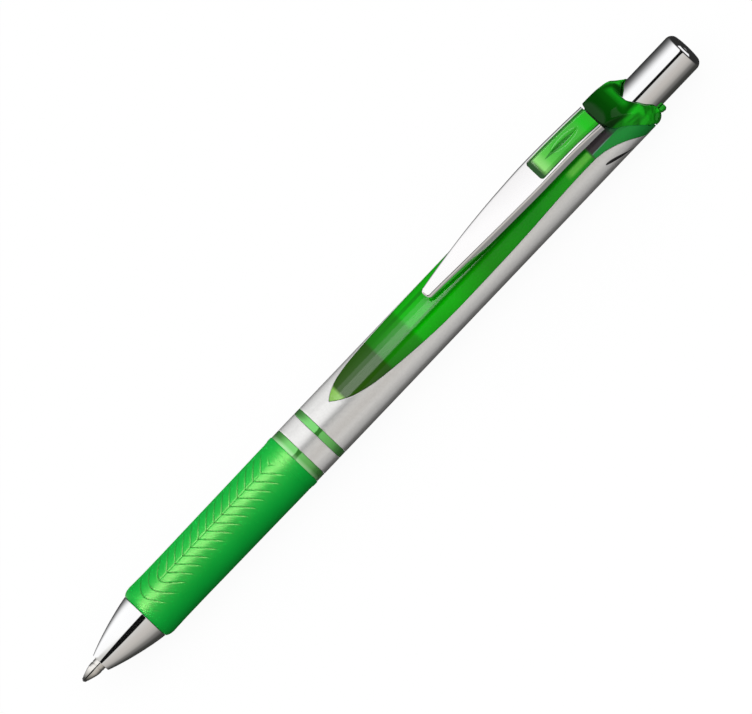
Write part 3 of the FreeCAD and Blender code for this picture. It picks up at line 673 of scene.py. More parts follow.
# -------------------------------------------------------------- translucent barrel
def inner_barrel():
    xs = np.unique(np.round(np.concatenate([
        [15.05, 15.3, 15.6, 16.0], np.linspace(18, 50.0, 12), [50.70, 50.72, 50.735, 50.76, 50.79, 51.0, 51.6, 52.2, 52.36, 52.39, 52.415, 52.43, 52.44],
        np.linspace(52.6, 55.9, 6), [56.06, 56.07, 56.085, 56.11, 56.14, 56.7, 57.26, 57.33, 57.36, 57.385, 57.40, 57.41],
        np.arange(57.8, 61.5, 0.4), [61.55, 61.58], np.arange(61.62, 62.6, 0.08), np.arange(62.6, 66, 0.18), np.arange(66, 121, 0.5),
        np.arange(121, 125.6, 0.2), [125.68, 125.74, 125.76], np.arange(125.9, 132.0, 0.14), [132.1, 132.3, 132.6, 132.79]]), 4))
    nA, nB, nC = 24, 40, 30
    gap = 0.045
    # station at which the collar's front edge reaches an angle, turned round
    degs = np.linspace(12, 179, 300)
    fronts = collar_front(degs) - 0.07

    def col_angle(x):
        if x <= 125.75:
            return 0.0
        return float(np.interp(x, fronts, degs))
    rows = []
    for xx in xs:
        if xx < 16.0:
            ro = 4.05 + (4.39 - 4.05) * (xx - 15.05) / 0.95
        elif xx < 50.705:
            ro = 4.39
        elif xx <= 52.435:
            e = max(0.0, 1 - min(xx - 50.72, 52.43 - xx) / 0.07)
            ro = R_RING - 0.10 - 0.07 * (1 - math.sqrt(max(0.0, 1 - min(1, e)**2)))
        elif xx < 56.065:
            ro = R_UNDER
        elif xx <= 57.405:
            e = max(0.0, 1 - min(xx - 56.07, 57.40 - xx) / 0.07)
            ro = R_RING - 0.10 - 0.07 * (1 - math.sqrt(max(0.0, 1 - min(1, e)**2)))
        elif xx < 132.03:
            ro = R_UNDER
        else:
            ro = R_SLEEVE - 0.012
        w = 0.0
        if 61.56 < xx < 132.03:
            w = max(0.0, float(win(xx - 0.035)) - math.degrees(gap / R_SLEEVE))
        c = min(col_angle(xx), max(0.0, w - 0.6)) if xx < 132.03 else 0.0
        pad = R_SLEEVE - 0.012
        d = math.degrees(0.05 / R_SLEEVE)
        # under the collar, the raised window, under the sleeve
        a1 = np.linspace(0, c, nA); r1 = np.full(nA, ro if c > 0 else (pad if w > 0 else ro))
        if w > 0.8:
            lo = c
            a2 = np.concatenate([[lo + (0.0 if c == 0 else 0.02), lo + (0.0 if c == 0 else d * 0.3), lo + (0.0 if c == 0 else d)],
                                 np.linspace(lo + d, w - d, nB - 6)[0:], [w - d * 0.3, w - 0.02, w]])
            r2 = np.full(nB, pad)
            if c > 0:
                r2[0], r2[1], r2[2] = pad - 0.06, pad - 0.018, pad
            r2[-3], r2[-2], r2[-1] = pad - 0.018, pad - 0.05, ro
        else:
            a2 = np.linspace(c, max(w, c), nB); r2 = np.full(nB, ro)
        a3 = np.linspace(max(w, c) + (0.3 if w > 0.8 else 0.0), 180, nC); r3 = np.full(nC, ro)
        if w > 0.8:
            a3[0] = min(180.0, w + 0.02)
        a = np.concatenate([a1, a2, a3]); r = np.concatenate([r1, r2, r3])
        full_a = np.concatenate([a, (360 - a[::-1])]); full_r = np.concatenate([r, r[::-1]])
        rows.append(pol(xx, full_r, full_a))
    O = np.array(rows)
    m = O.shape[1]
    # behind the collar's rim the shell is only there on the side away from the clip
    keep = sstep(78, 104, np.abs(np.degrees(np.arctan2(O[:, :, 1], O[:, :, 2]))))
    past = np.maximum(0.0, O[:, :, 0] - 131.0)
    O[:, :, 0] = np.where(past > 0, 131.0 + past * (0.03 + 0.97 * keep), O[:, :, 0])
    bore = np.array([(132.79, 4.07), (105.0, 4.07), (104.6, 3.31), (23.6, 3.31), (23.0, 3.71), (15.05, 3.71)])
    # the same angles as the outer rows, so that the ends join point to point
    first, last = O[0], O[-1]
    ang = lambda row: np.degrees(np.arctan2(row[:, 1], row[:, 2]))
    B = []
    for k, (bx, br) in enumerate(bore):
        src = ang(last) if k < 4 else ang(first)
        B.append(pol(bx, br, src if k in (0,) else ang(O[len(O) // 6])))
    B[0] = pol(132.79, 4.07, ang(last)); B[-1] = pol(15.05, 3.71, ang(first))
    B[0][:, 0] = last[:, 0]
    v = np.concatenate([O, np.array(B)])
    f = grid_faces(len(v), m, True, True)
    return build("green_barrel_translucent", v, f, M["barrel"], "barrel", replaces=("inner_barrel",), slot="barrel_green", sharp=38)


inner_barrel()
for nm, xa, xb in (("green_ring_front", 50.715, 52.435), ("green_ring_rear", 56.065, 57.405)):
    lathe(nm, fillet([(xa, R_RING - 0.22), (xb, R_RING - 0.22), (xb, R_RING, 0.07), (xa, R_RING, 0.07)], seg=5), M["ring"], "barrel", slot="barrel_green")


# -------------------------------------------------------------------------- collar
def collar():
    hx = [125.7, 127.0, 128.5, 130.0, 131.4, 132.6, 134.4]
    hh = pchip(hx, [7.74, 7.64, 7.34, 6.80, 6.00, 5.00, 3.8])
    hb = pchip(hx, [2.90, 2.98, 3.18, 3.45, 3.70, 3.80, 3.8])
    ring_x = [125.0, 131.9, 132.5, 133.1, 133.6, 134.0, 134.16, 134.22]
    sh = pchip([125.0, 129.0, 130.06, 131.2, 132.0, 132.8, 133.5, 134.1, 134.3], [8.6, 7.35, 6.75, 6.05, 5.45, 4.72, 4.20, 3.86, 3.82])
    ring_r = pchip(ring_x, [5.325, 5.325, 5.28, 5.13, 4.85, 4.45, 4.15, 3.98])
    rim = pchip([0, 12, 24, 34, 52, 66, 79, 100, 180], [131.42, 131.50, 132.05, 132.62, 133.15, 133.75, 134.16, 134.22, 134.22])
    degs = np.concatenate([np.arange(0, 34, 0.75), np.arange(34, 84, 1.25), np.arange(84, 180, 3.0), [180.0]])
    n_out = 64
    t = np.concatenate([np.linspace(0, 0.06, 7)[:-1], np.linspace(0.06, 0.86, n_out - 22), np.linspace(0.86, 1.0, 17)[1:]])
    cols = []
    for d in degs:
        xf, xr = float(collar_front(d)), float(rim(d))
        x = xf + (xr - xf) * t
        h, b = hh(x), hb(x)
        s, c = math.sin(math.radians(d)), math.cos(math.radians(d))
        near = float(sstep(112, 88, d)) if d > 88 else 1.0
        bb, zb = b + 1.30, 2.2
        mm = (bb - b) / np.maximum(h - zb, 0.4)
        side = (b + mm * h) / max(s + 0.0, 1e-6) if c < 0.05 else (b + mm * h) / (s + mm * c)
        top = h / max(c, 0.08)
        hood = smin(top, side, 0.62)
        fade = sstep(86, 66, d) if d < 90 else 0.0
        ring = np.minimum(ring_r(x), near * sh(x) + (1 - near) * 9)
        R = smax(ring, hood * fade + ring * (1 - fade) - (0 if fade else 0.3), 0.22)
        R = smin(R, sh(x) + (1 - near) * 6, 0.25)
        # crisp line round the front edge and a round rim behind
        e = np.clip(1 - (x - xf) / 0.10, 0, 1)
        R = R - 0.08 * (1 - np.sqrt(1 - e**2))
        rho = 0.42 if d < 60 else 0.30
        q = np.clip(1 - (xr - x) / rho, 0, 1)
        cap = 3.70 + (R - 3.70) * np.sqrt(np.clip(1 - q**2, 0, 1)) * 0.62 + (R - 3.70) * 0.38
        R = np.where(q > 0, np.minimum(R, np.maximum(cap, 3.95)), R)
        out = np.stack([x, R], -1)
        pocket = 1.0 if d < 20.5 else 0.0
        zt = 6.25 / max(c, 0.3) if pocket else 4.82
        xin = xf + (129.35 - xf) * pocket
        inner = np.array([(xr - 0.04, 3.76), (xr - 0.12, 3.70), (max(131.3, xf + 0.03), 3.70), (max(131.2, xf + 0.02), 3.78),
                          (max(131.2, xf + 0.02), 4.70), (max(131.15, xf + 0.01), 4.82), (max(xin, xf), 4.82), (xin, min(zt, R[0] - 0.2)),
                          (xf, min(zt, R[0] - 0.2)), (xf, max(4.9, R[0] - 0.10) if not pocket else R[0] - 0.12)])
        cols.append(np.concatenate([out, inner]))
    C = np.array(cols)
    full_d = np.concatenate([degs, 360 - degs[-2:0:-1]])
    full = np.concatenate([C, C[-2:0:-1]])
    v = pol(full[:, :, 0], full[:, :, 1], full_d[:, None])
    f = grid_faces(len(full_d), v.shape[1], True, True)
    v = v.reshape(-1, 3)
    # rear lip on the side away from the clip
    lip = fillet([(133.95, 3.70), (135.36, 3.70, 0.10), (135.36, 4.35, 0.28), (134.95, 4.60, 0.22), (134.35, 4.52, 0.2), (133.95, 4.30)], seg=5)
    la = np.linspace(103, 257, 90)
    ease = np.clip(np.minimum(la - 103, 257 - la) / 4.0, 0, 1)
    lv = []
    for a_, k_ in zip(la, ease):
        k_ = math.sqrt(1 - (1 - k_) ** 2)
        lv.append(pol(np.array([134.0 + (p[0] - 134.0) * (0.35 + 0.65 * k_) for p in lip]),
                      np.array([3.70 + (p[1] - 3.70) * (0.5 + 0.5 * k_) for p in lip]), a_))
    lv = np.array(lv)
    base = len(v)
    n, m = lv.shape[:2]
    f += grid_faces(n, m, False, True, base)
    f.append([base + k for k in range(m)])
    f.append([base + (n - 1) * m + k for k in range(m)][::-1])
    v = np.concatenate([v, lv.reshape(-1, 3)])
    # sill under the clip's rear edge
    sill = fillet([(-2.28, 6.42, 0.05), (2.28, 6.42, 0.05), (2.28, 6.95, 0.05), (-2.28, 6.95, 0.05)], seg=3)
    sv = np.array([[(xx, y_, z_) for y_, z_ in sill] for xx in (125.64, 125.98)])
    base = len(v)
    n, m = sv.shape[:2]
    f += grid_faces(n, m, False, True, base)
    f.append([base + k for k in range(m)])
    f.append([base + (n - 1) * m + k for k in range(m)][::-1])
    v = np.concatenate([v, sv.reshape(-1, 3)])
    return build("green_collar_hood", v, f, M["collar"], "barrel", replaces=("top_collar",), slot="collar_green", sharp=30)


collar()

# ---------------------------------------------------------------------------- clip
CX = [85.1, 88.0, 92.6, 98.4, 105.9, 112.3, 116.0, 120.0, 123.0, 125.54]
clip_h = pchip(CX, [7.02, 7.42, 7.90, 8.36, 8.65, 8.72, 8.66, 8.46, 8.14, 7.78])
clip_b = pchip(CX, [1.06, 1.36, 1.81, 2.28, 2.68, 2.86, 2.83, 2.78, 2.80, 2.84])
CLIP_END, HOLE_X, HOLE_W, HOLE_R = 125.54, 112.30, 2.36, 0.85


def hole_half(x):
    x = np.asarray(x, float)
    q = np.clip(HOLE_R - (x - HOLE_X), 0, HOLE_R)
    return HOLE_W - HOLE_R + np.sqrt(HOLE_R**2 - q**2)


def flange(x):
    """How deep the rolled-down edge is, by station."""
    return 1.30 + 0.45 * sstep(86, 100, x) - 0.35 * sstep(121.0, 125.4, x)


def clip():
    """Pressed U-section strip: crowned top, rolled edges, a square tip and a cut-out for the inlay."""
    xs = np.unique(np.round(np.concatenate([
        85.1 + 0.56 + np.array([0, 0.15, 0.4, 0.8]), np.arange(86.8, 111.9, 0.6), [112.1, 112.2], HOLE_X + HOLE_R * (1 - np.cos(np.linspace(0, math.pi / 2, 9))),
        np.arange(113.8, 124.9, 0.5), [125.0, 125.2, CLIP_END]]), 4))
    nc = 16
    round_r = 0.56
    tt = np.linspace(-1, 1, nc + 1)
    i_h0 = 3          # columns outside the cut-out at each side

    def deck(inset, drop, edge_y_same_hole=True):
        rows = []
        for k, x in enumerate(xs):
            b = float(clip_b(x)) - inset
            if k == 0:
                b -= 0.0
            if x >= HOLE_X - 1e-6:
                w = float(hole_half(x))
            else:
                w = float(hole_half(HOLE_X)) + (b * 0.62 - float(hole_half(HOLE_X))) * float(sstep(0.0, 4.0, HOLE_X - x))
            w = min(w, b - 0.06)
            y = np.concatenate([np.linspace(-b, -w, i_h0 + 1), np.linspace(-w, w, nc - 2 * i_h0 + 1)[1:-1], np.linspace(w, b, i_h0 + 1)])
            z = float(clip_h(x)) - drop - 0.07 * (y / max(b, 0.1)) ** 2
            xx = np.full_like(y, x)
            if k == 0:                                  # the square tip has small rounded corners
                xx = x + (0.16 * np.clip((np.abs(y) / b - 0.45) / 0.55, 0, 1) ** 2.2)
            rows.append(np.stack([xx, y, z], -1))
        return np.array(rows)

    def rings(D, offs, outward):
        """Boundary of a deck carried outwards and down: offs are (outward, down)."""
        left, front, right = D[::-1, 0], D[0], D[:, -1]
        B = np.concatenate([left, front[1:], right[1:]])
        flat = B[:, :2]
        tan = np.gradient(flat, axis=0)
        tan[0] = tan[1]; tan[-1] = tan[-2]
        tan /= np.linalg.norm(tan, axis=1)[:, None]
        nrm = np.stack([-tan[:, 1], tan[:, 0]], -1)
        mid = len(left) + len(front) // 2 - 1
        if nrm[mid, 0] > 0:
            nrm = -nrm
        # at the rear the section is cut square
        nrm[0] = (0, nrm[0, 1]); nrm[-1] = (0, nrm[-1, 1])
        nrm /= np.maximum(np.linalg.norm(nrm, axis=1)[:, None], 1e-9)
        out = []
        for o, dn in offs:
            p = B.copy()
            p[:, :2] += nrm * o
            p[:, 2] = B[:, 2] - (dn(B[:, 0]) if callable(dn) else dn)
            out.append(p)
        return out
    Do = deck(round_r, 0.0)
    Di = deck(0.80, 0.45)
    Do[:, :, 0][0] -= 0.0
    arc = [(round_r * math.sin(a), round_r * (1 - math.cos(a))) for a in np.linspace(0, math.pi / 2, 7)[1:]]
    bot = lambda x: flange(x) + 0.0
    ro = rings(Do, arc + [(round_r, 0.75), (round_r, lambda x: flange(x) - 0.06), (round_r - 0.06, bot)], True)
    arc_i = [(0.17 * math.sin(a), 0.17 * (1 - math.cos(a))) for a in np.linspace(0, math.pi / 2, 7)[1:]]
    ri = rings(Di, arc_i + [(0.17, 0.40), (0.17, lambda x: flange(x) - 0.45 - 0.06), (0.17 + 0.05, lambda x: flange(x) - 0.45)], True)
    verts, faces = [], []

    def add(a):
        base = sum(len(q) for q in verts)
        verts.append(a.reshape(-1, 3))
        return base
    n, m = Do.shape[:2]
    bo, bi = add(Do), add(Di)
    hole_rows = [k for k in range(n - 1) if xs[k] >= HOLE_X - 1e-6]

    def deck_faces(base):
        out = []
        for i in range(n - 1):
            for j in range(m - 1):
                if i in hole_rows and i_h0 <= j < m - 1 - i_h0:
                    continue
                out.append([base + i * m + j, base + (i + 1) * m + j, base + (i + 1) * m + j + 1, base + i * m + j + 1])
        return out
    faces += deck_faces(bo) + deck_faces(bi)
    # walls of the cut-out
    for i in hole_rows:
        for j in (i_h0, m - 1 - i_h0):
            a, b = i * m + j, (i + 1) * m + j
            faces.append([bo + a, bo + b, bi + b, bi + a])
    i0 = hole_rows[0]
    for j in range(i_h0, m - 1 - i_h0):
        faces.append([bo + i0 * m + j, bo + i0 * m + j + 1, bi + i0 * m + j + 1, bi + i0 * m + j])

    def boundary(base):
        left = [base + i * m for i in range(n - 1, -1, -1)]
        front = [base + j for j in range(1, m)]
        right = [base + i * m + m - 1 for i in range(1, n)]
        return left + front + right
    prev_o, prev_i = boundary(bo), boundary(bi)
    chains_o, chains_i = [prev_o], [prev_i]
    for ring in ro:
        b = add(ring)
        cur = list(range(b, b + len(ring)))
        faces += [[p, q, r, s] for p, q, r, s in zip(prev_o, prev_o[1:], cur[1:], cur)]
        prev_o = cur
        chains_o.append(cur)
    for ring in ri:
        b = add(ring)
        cur = list(range(b, b + len(ring)))
        faces += [[p, q, r, s] for p, q, r, s in zip(prev_i, prev_i[1:], cur[1:], cur)]
        prev_i = cur
        chains_i.append(cur)
    faces += [[p, q, r, s] for p, q, r, s in zip(prev_o, prev_o[1:], prev_i[1:], prev_i)]
    # square rear end
    for k in range(len(chains_o) - 1):
        for e in (0, -1):
            faces.append([chains_o[k][e], chains_o[k + 1][e], chains_i[k + 1][e], chains_i[k][e]])
    last = (n - 1) * m
    for j in range(m - 1):
        if i_h0 <= j < m - 1 - i_h0:
            continue
        faces.append([bo + last + j, bo + last + j + 1, bi + last + j + 1, bi + last + j])
    v = np.concatenate(verts)
    # foot under the tip, web and tongue at the root: closed blocks with round edges
    def block(x0, x1, y1, z0, z1, r=0.08):
        pts = fillet([(-y1, z0, r), (y1, z0, r), (y1, z1, r), (-y1, z1, r)], seg=3)
        a = []
        for xx, k in ((x0, r), (x0 + r * 0.3, r * 0.3), (x0 + r, 0), (x1 - r, 0), (x1 - r * 0.3, r * 0.3), (x1, r)):
            a.append([(xx, y * (1 - k / y1), (z - (z0 + z1) / 2) * (1 - k / ((z1 - z0) / 2)) + (z0 + z1) / 2) for y, z in pts])
        a = np.array(a)
        return a
    extra = [block(124.78, 125.32, 2.46, 5.34, 6.36), block(124.9, 128.98, 1.9, 5.33, 5.91)]
    tv, tf = np.zeros((0, 3)), []
    for a in extra:
        base = len(tv)
        nn, mm_ = a.shape[:2]
        tv = np.concatenate([tv, a.reshape(-1, 3)])
        tf += grid_faces(nn, mm_, False, True, base)
        tf.append([base + k for k in range(mm_)])
        tf.append([base + (nn - 1) * mm_ + k for k in range(mm_)][::-1])
    build("clip_root_tongue", tv, tf, M["root"], "clip_arm", slot="clip_chrome", sharp=34)
    # the foot: a shallow dome pressed down out of the tip
    g = 18
    fv = []
    for i in range(g + 1):
        ph = math.pi / 2 * i / g
        rr, zz = 0.82 * math.cos(ph), -math.sin(ph)
        fv.append([(87.3 + rr * 1.25 * math.cos(q), rr * math.sin(q), 6.30 + zz * 0.97) for q in np.linspace(0, 2 * math.pi, 28, endpoint=False)])
    fv = np.array(fv)
    cap = fv[:1].copy(); cap[:, :, 2] = 7.05
    fv = np.concatenate([cap, fv])
    base = len(v)
    v = np.concatenate([v, fv.reshape(-1, 3)])
    faces += grid_faces(fv.shape[0], 28, False, True, base)
    faces.append([base + k for k in range(28)])
    return build("spring_clip_chrome", v, faces, M["chrome_clip"], "clip_arm", replaces=("clip",), slot="clip_chrome", sharp=34)


clip()


def inlay():
    """Green insert: a sunk border, a raised pad with bevelled sides and a spindle groove."""
    x0, x1 = HOLE_X + 0.06, 125.47
    xs = np.unique(np.round(np.concatenate([x0 + HOLE_R * (1 - np.cos(np.linspace(0, math.pi / 2, 12))), np.arange(113.45, 114.4, 0.06),
                                            np.arange(114.4, 125.4, 0.11), [125.42, 125.45, x1]]), 4))
    m = 61
    t = np.linspace(-1, 1, m)
    top, bot = [], []
    for x in xs:
        w = float(hole_half(x - 0.0)) - 0.055
        y = np.sign(t) * np.abs(t) ** 0.93 * w
        plate = float(clip_h(x)) - 0.07 * (y / 2.5) ** 2
        rise = sstep(113.05, 113.60, x)
        edge = np.clip((1.86 - np.abs(y)) / 0.42, 0, 1)
        corner = sstep(0.0, 0.45, np.hypot(np.maximum(0, 114.00 - x), np.maximum(0, np.abs(y) - 1.15)) * -1 + 0.98)
        pad = rise * edge * edge * (3 - 2 * edge) * corner
        crown = 0.10 * np.cos(np.clip(y / 1.8, -1, 1) * math.pi / 2)
        g = np.clip((x - 119.65) / 3.35, -1, 1)
        gw = 0.40 * (1 - g * g) + 1e-4
        yc = y - 0.12
        groove = 0.34 * np.exp(-((yc / gw) ** 2) * 1.6) * sstep(0, 0.25, 1 - abs(g))
        flank = 0.10 * np.exp(-(((np.abs(yc) - 0.75 * (1 - g * g) - 0.15) / 0.16) ** 2)) * sstep(0, 0.35, 1 - abs(g))
        z = plate - 0.20 + (0.32 + crown) * pad - groove * pad - flank * pad
        side = np.clip(1 - (w - np.abs(y)) / 0.07, 0, 1)
        z = z - 0.07 * (1 - np.sqrt(1 - side**2))
        top.append(np.stack([np.full(m, x), y, z], -1))
        bot.append(np.stack([np.full(m, x), y, np.full(m, float(clip_h(x)) - 1.30)], -1))
    T, B = np.array(top), np.array(bot)
    n = len(xs)
    v = np.concatenate([T.reshape(-1, 3), B.reshape(-1, 3)])
    N = n * m
    f = grid_faces(n, m) + [[q[3] + N, q[2] + N, q[1] + N, q[0] + N] for q in grid_faces(n, m)]
    for i in range(n - 1):
        for j in (0, m - 1):
            f.append([i * m + j, (i + 1) * m + j, (i + 1) * m + j + N, i * m + j + N])
    for j in range(m - 1):
        for i in (0, n - 1):
            f.append([i * m + j, i * m + j + 1, i * m + j + 1 + N, i * m + j + N])
    return build("green_clip_inlay", v, f, M["inlay"], "clip_arm", replaces=("clip_inlay",), slot="inlay_green", sharp=45)


inlay()


# --------------------------------------------------------------------------- prints
def patch(name, x0, x1, a0, a1, r, mat, body="barrel", nx=3, na=6, skew=0.0, rows=None):
    """A print 0.012 mm thick on a round surface; skew leans it along the pen."""
    xs = np.linspace(x0, x1, nx); an = np.linspace(a0, a1, na)
    out = []
    for rr in (r, r + 0.012):
        X_, A_ = np.meshgrid(xs, an, indexing="ij")
        lean = skew * (A_ - (a0 + a1) / 2) / max(1e-6, (a1 - a0))
        out.append(pol(X_ + lean, rr, A_))
    V_ = np.array(out)
    n, m = V_.shape[1:3]
    v = V_.reshape(-1, 3)
    N = n * m
    f = grid_faces(n, m) + [[q[3] + N, q[2] + N, q[1] + N, q[0] + N] for q in grid_faces(n, m)]
    for i in range(n - 1):
        for j in (0, m - 1):
            f.append([i * m + j, (i + 1) * m + j, (i + 1) * m + j + N, i * m + j + N])
    for j in range(m - 1):
        for i in (0, n - 1):
            f.append([i * m + j, i * m + j + 1, i * m + j + 1 + N, i * m + j + N])
    return v, f


def joined(name, pieces, mat, body):
    v, f = [], []
    for pv, pf in pieces:
        b = sum(len(q) for q in v)
        v.append(pv)
        f += [[i + b for i in q] for q in pf]
    return build(name, np.concatenate(v), f, mat, body, merge=0)


def sliver():
    """A dark tapered print that curls round the silver sleeve on both sides."""
    pieces = []
    for side in (1, -1):
        t = np.linspace(0, 1, 30)
        ln = np.stack([121.4 + 5.6 * t, 73 + 32 * t ** 1.25], -1)
        half = 0.36 * np.sin(np.pi * t ** 0.62) ** 0.9 + 0.004
        cols = []
        for k in (-1, -0.4, 0.4, 1):
            cols.append(np.stack([ln[:, 0] + 0.55 * k * half, side * (ln[:, 1] - 0.85 * k * half / 5.25 * 180 / math.pi)], -1))
        g = np.array(cols)
        v = np.concatenate([pol(g[:, :, 0], rr, g[:, :, 1]).reshape(-1, 3) for rr in (5.237, 5.249)])
        n, m = g.shape[:2]
        N = n * m
        f = grid_faces(n, m) + [[q[3] + N, q[2] + N, q[1] + N, q[0] + N] for q in grid_faces(n, m)]
        for i in range(n - 1):
            for j in (0, m - 1):
                f.append([i * m + j, (i + 1) * m + j, (i + 1) * m + j + N, i * m + j + N])
        for j in range(m - 1):
            for i in (0, n - 1):
                f.append([i * m + j, i * m + j + 1, i * m + j + 1 + N, i * m + j + N])
        pieces.append((v, f))
    return joined("dark_sliver_print", pieces, M["dark_print"], "barrel")


sliver()

# ------------------------------------------------------------- inner CAD pieces' finish
for n, key in {"writing_ball": "ball", "refill_tip_holder": "natural", "refill_tube": "tube", "ink_column": "ink", "ink_follower": "follower",
               "refill_tail_plug": "tail", "return_spring": "spring", "cam_guide": "guide", "knock_plunger": "cam", "rotor_cam": "rotor"}.items():
    o = frame["nodes"][n]
    o.data.materials.clear()
    o.data.materials.append(M[key])
    for p in o.data.polygons:
        p.material_index = 0

# ------------------------------------------------------------------------ the stage
def floor():
    m, nt, b = new_mat("pale_paper_sweep")
    v = coords(nt)
    big = noise(nt, v, 3.0, 2.0)
    fine = noise(nt, v, 900.0, 4.0)
    nt.links.new(two_colours(nt, ranged(nt, big, 0, 1), (0.055, 0.055, 0.055), (0.058, 0.058, 0.058)), b.inputs["Base Color"])
    b.inputs["Roughness"].default_value = 0.9
    b.inputs["Emission Color"].default_value = (1, 1, 1, 1)
    b.inputs["Emission Strength"].default_value = 0.945
    b.inputs["Specular IOR Level"].default_value = 0.0
    bump(nt, b, fine, 1e-5, 0.2)
    s = 2.5
    z = cad_bounds[0][2]
    v = []
    n = 24
    for i in range(n + 1):
        for j in range(n + 1):
            v.append((-s + 2 * s * i / n, -s + 2 * s * j / n, z - 1e-5))
    return build("studio_floor", np.array(v), grid_faces(n + 1, n + 1), m, None, merge=0, stage=True, mm=False)


fl = floor()
fl.visible_glossy = False
fl.visible_diffuse = False
fl.visible_transmission = False

PHI = math.radians(28.5)
TILT = math.radians(46.38)
c = Vector((0, -math.sin(PHI), math.cos(PHI)))          # towards the camera
nrm = Vector((0, math.cos(PHI), math.sin(PHI)))
right = math.cos(TILT) * Vector((1, 0, 0)) - math.sin(TILT) * nrm
up = math.sin(TILT) * Vector((1, 0, 0)) + math.cos(TILT) * nrm


def world():
    """Long soft boxes each side of the pen: white above, warm grey below, a dark gap between."""
    w = bpy.data.worlds.new("studio")
    scene.world = w
    w.use_nodes = True
    nt = w.node_tree
    nt.nodes.clear()
    L = nt.links
    tc = nt.nodes.new("ShaderNodeTexCoord")

    def dot(v):
        d = nt.nodes.new("ShaderNodeVectorMath")
        d.operation = "DOT_PRODUCT"
        L.new(tc.outputs["Generated"], d.inputs[0])
        d.inputs[1].default_value = tuple(v)
        return d.outputs["Value"]

    def mth(op, a, b=None, clamp=False):
        q = nt.nodes.new("ShaderNodeMath")
        q.operation = op
        q.use_clamp = clamp
        for k, s in enumerate((a, b)):
            if s is None:
                continue
            if isinstance(s, (int, float)):
                q.inputs[k].default_value = s
            else:
                L.new(s, q.inputs[k])
        return q.outputs[0]

    def mix(f, a, b):
        q = nt.nodes.new("ShaderNodeMix")
        q.data_type = "RGBA"
        for k, s in (("Factor", f), ("A", a), ("B", b)):
            if isinstance(s, (int, float)):
                q.inputs[k].default_value = s
            elif isinstance(s, tuple):
                q.inputs[k].default_value = (*s, 1)
            else:
                L.new(s, q.inputs[k])
        return q.outputs["Result"]
    dx = dot((1, 0, 0))
    ang = mth("MULTIPLY", mth("ARCTAN2", dot(nrm), dot(c)), 180 / math.pi)     # degrees, the camera's side at 0
    # the white box reaches further round towards the pen's tip
    tipward = mth("MAXIMUM", mth("MULTIPLY", dx, -1.0), 0.0)
    squeeze = mth("SUBTRACT", 1.0, mth("MULTIPLY", tipward, mth("ADD", mth("MULTIPLY", mth("GREATER_THAN", ang, 0.0), 1.2), 0.4)))
    u = mth("ADD", mth("DIVIDE", mth("MULTIPLY", ang, squeeze), 360.0), 0.5)
    ramp = nt.nodes.new("ShaderNodeValToRGB")
    stops = [(-180, (0.04, 0.04, 0.04)), (-130, (0.05, 0.05, 0.045)), (-112, (0.065, 0.065, 0.06)), (-97, (0.16, 0.155, 0.15)), (-86, (0.22, 0.21, 0.195)),
             (-72, (0.43, 0.415, 0.39)), (-50, (0.59, 0.56, 0.52)), (-32, (0.65, 0.615, 0.575)), (-14, (0.71, 0.695, 0.66)), (0, (0.74, 0.73, 0.70)),
             (6, (1.16, 1.16, 1.15)), (50, (1.20, 1.20, 1.20)), (60, (1.12, 1.12, 1.12)), (68, (1.0, 1.0, 1.0)), (84, (0.62, 0.62, 0.62)),
             (102, (0.28, 0.28, 0.28)), (119, (0.13, 0.13, 0.13)), (142, (0.05, 0.05, 0.05)), (180, (0.04, 0.04, 0.04))]
    el = ramp.color_ramp.elements
    while len(el) > 1:
        el.remove(el[-1])
    el[0].position = 0.0
    el[0].color = (*stops[0][1], 1)
    for a, col in stops[1:]:
        e = el.new(min(1.0, a / 360 + 0.5))
        e.color = (*col, 1)
    L.new(u, ramp.inputs["Fac"])
    # the dark gap between the boxes, a little wider towards the pen's tip
    centre = mth("ADD", mth("MULTIPLY", dx, 6.0), 5.6)
    half = mth("ADD", mth("MULTIPLY", mth("ABSOLUTE", dx), 15.0), 7.4)
    off = mth("SUBTRACT", mth("ABSOLUTE", mth("SUBTRACT", ang, centre)), half)
    gap = nt.nodes.new("ShaderNodeMapRange")
    gap.inputs["From Min"].default_value = -1.2
    gap.inputs["From Max"].default_value = 1.2
    L.new(off, gap.inputs["Value"])
    col = mix(gap.outputs["Result"], (0.005, 0.005, 0.005), ramp.outputs["Color"])
    # towards the pen's own ends the boxes give way to an even grey
    mr = nt.nodes.new("ShaderNodeMapRange")
    mr.inputs["From Min"].default_value = -0.86
    mr.inputs["From Max"].default_value = -0.97
    L.new(dx, mr.inputs["Value"])
    col = mix(mr.outputs["Result"], col, (0.60, 0.59, 0.58))
    # towards the knock's end: dark, with one narrow bright panel
    er = nt.nodes.new("ShaderNodeValToRGB")
    el = er.color_ramp.elements
    el[0].position, el[0].color = 0.20, (0, 0, 0, 1)
    el[1].position, el[1].color = 0.36, (1, 1, 1, 1)
    L.new(dx, er.inputs["Fac"])
    pr = nt.nodes.new("ShaderNodeValToRGB")
    el = pr.color_ramp.elements
    el[0].position, el[0].color = 0.52, (0.02, 0.02, 0.02, 1)
    el[1].position, el[1].color = 0.58, (1.15, 1.15, 1.15, 1)
    for q, g in ((0.80, 1.15), (0.86, 0.02), (0.97, 0.02), (0.995, 0.45)):
        e = el.new(q)
        e.color = (g, g, g, 1)
    L.new(dx, pr.inputs["Fac"])
    near = mth("LESS_THAN", mth("ABSOLUTE", ang), 48.0)
    panel = mix(near, (0.03, 0.03, 0.03), pr.outputs["Color"])
    col = mix(er.outputs["Color"], col, panel)
    glossy = nt.nodes.new("ShaderNodeBackground")
    L.new(col, glossy.inputs["Color"])
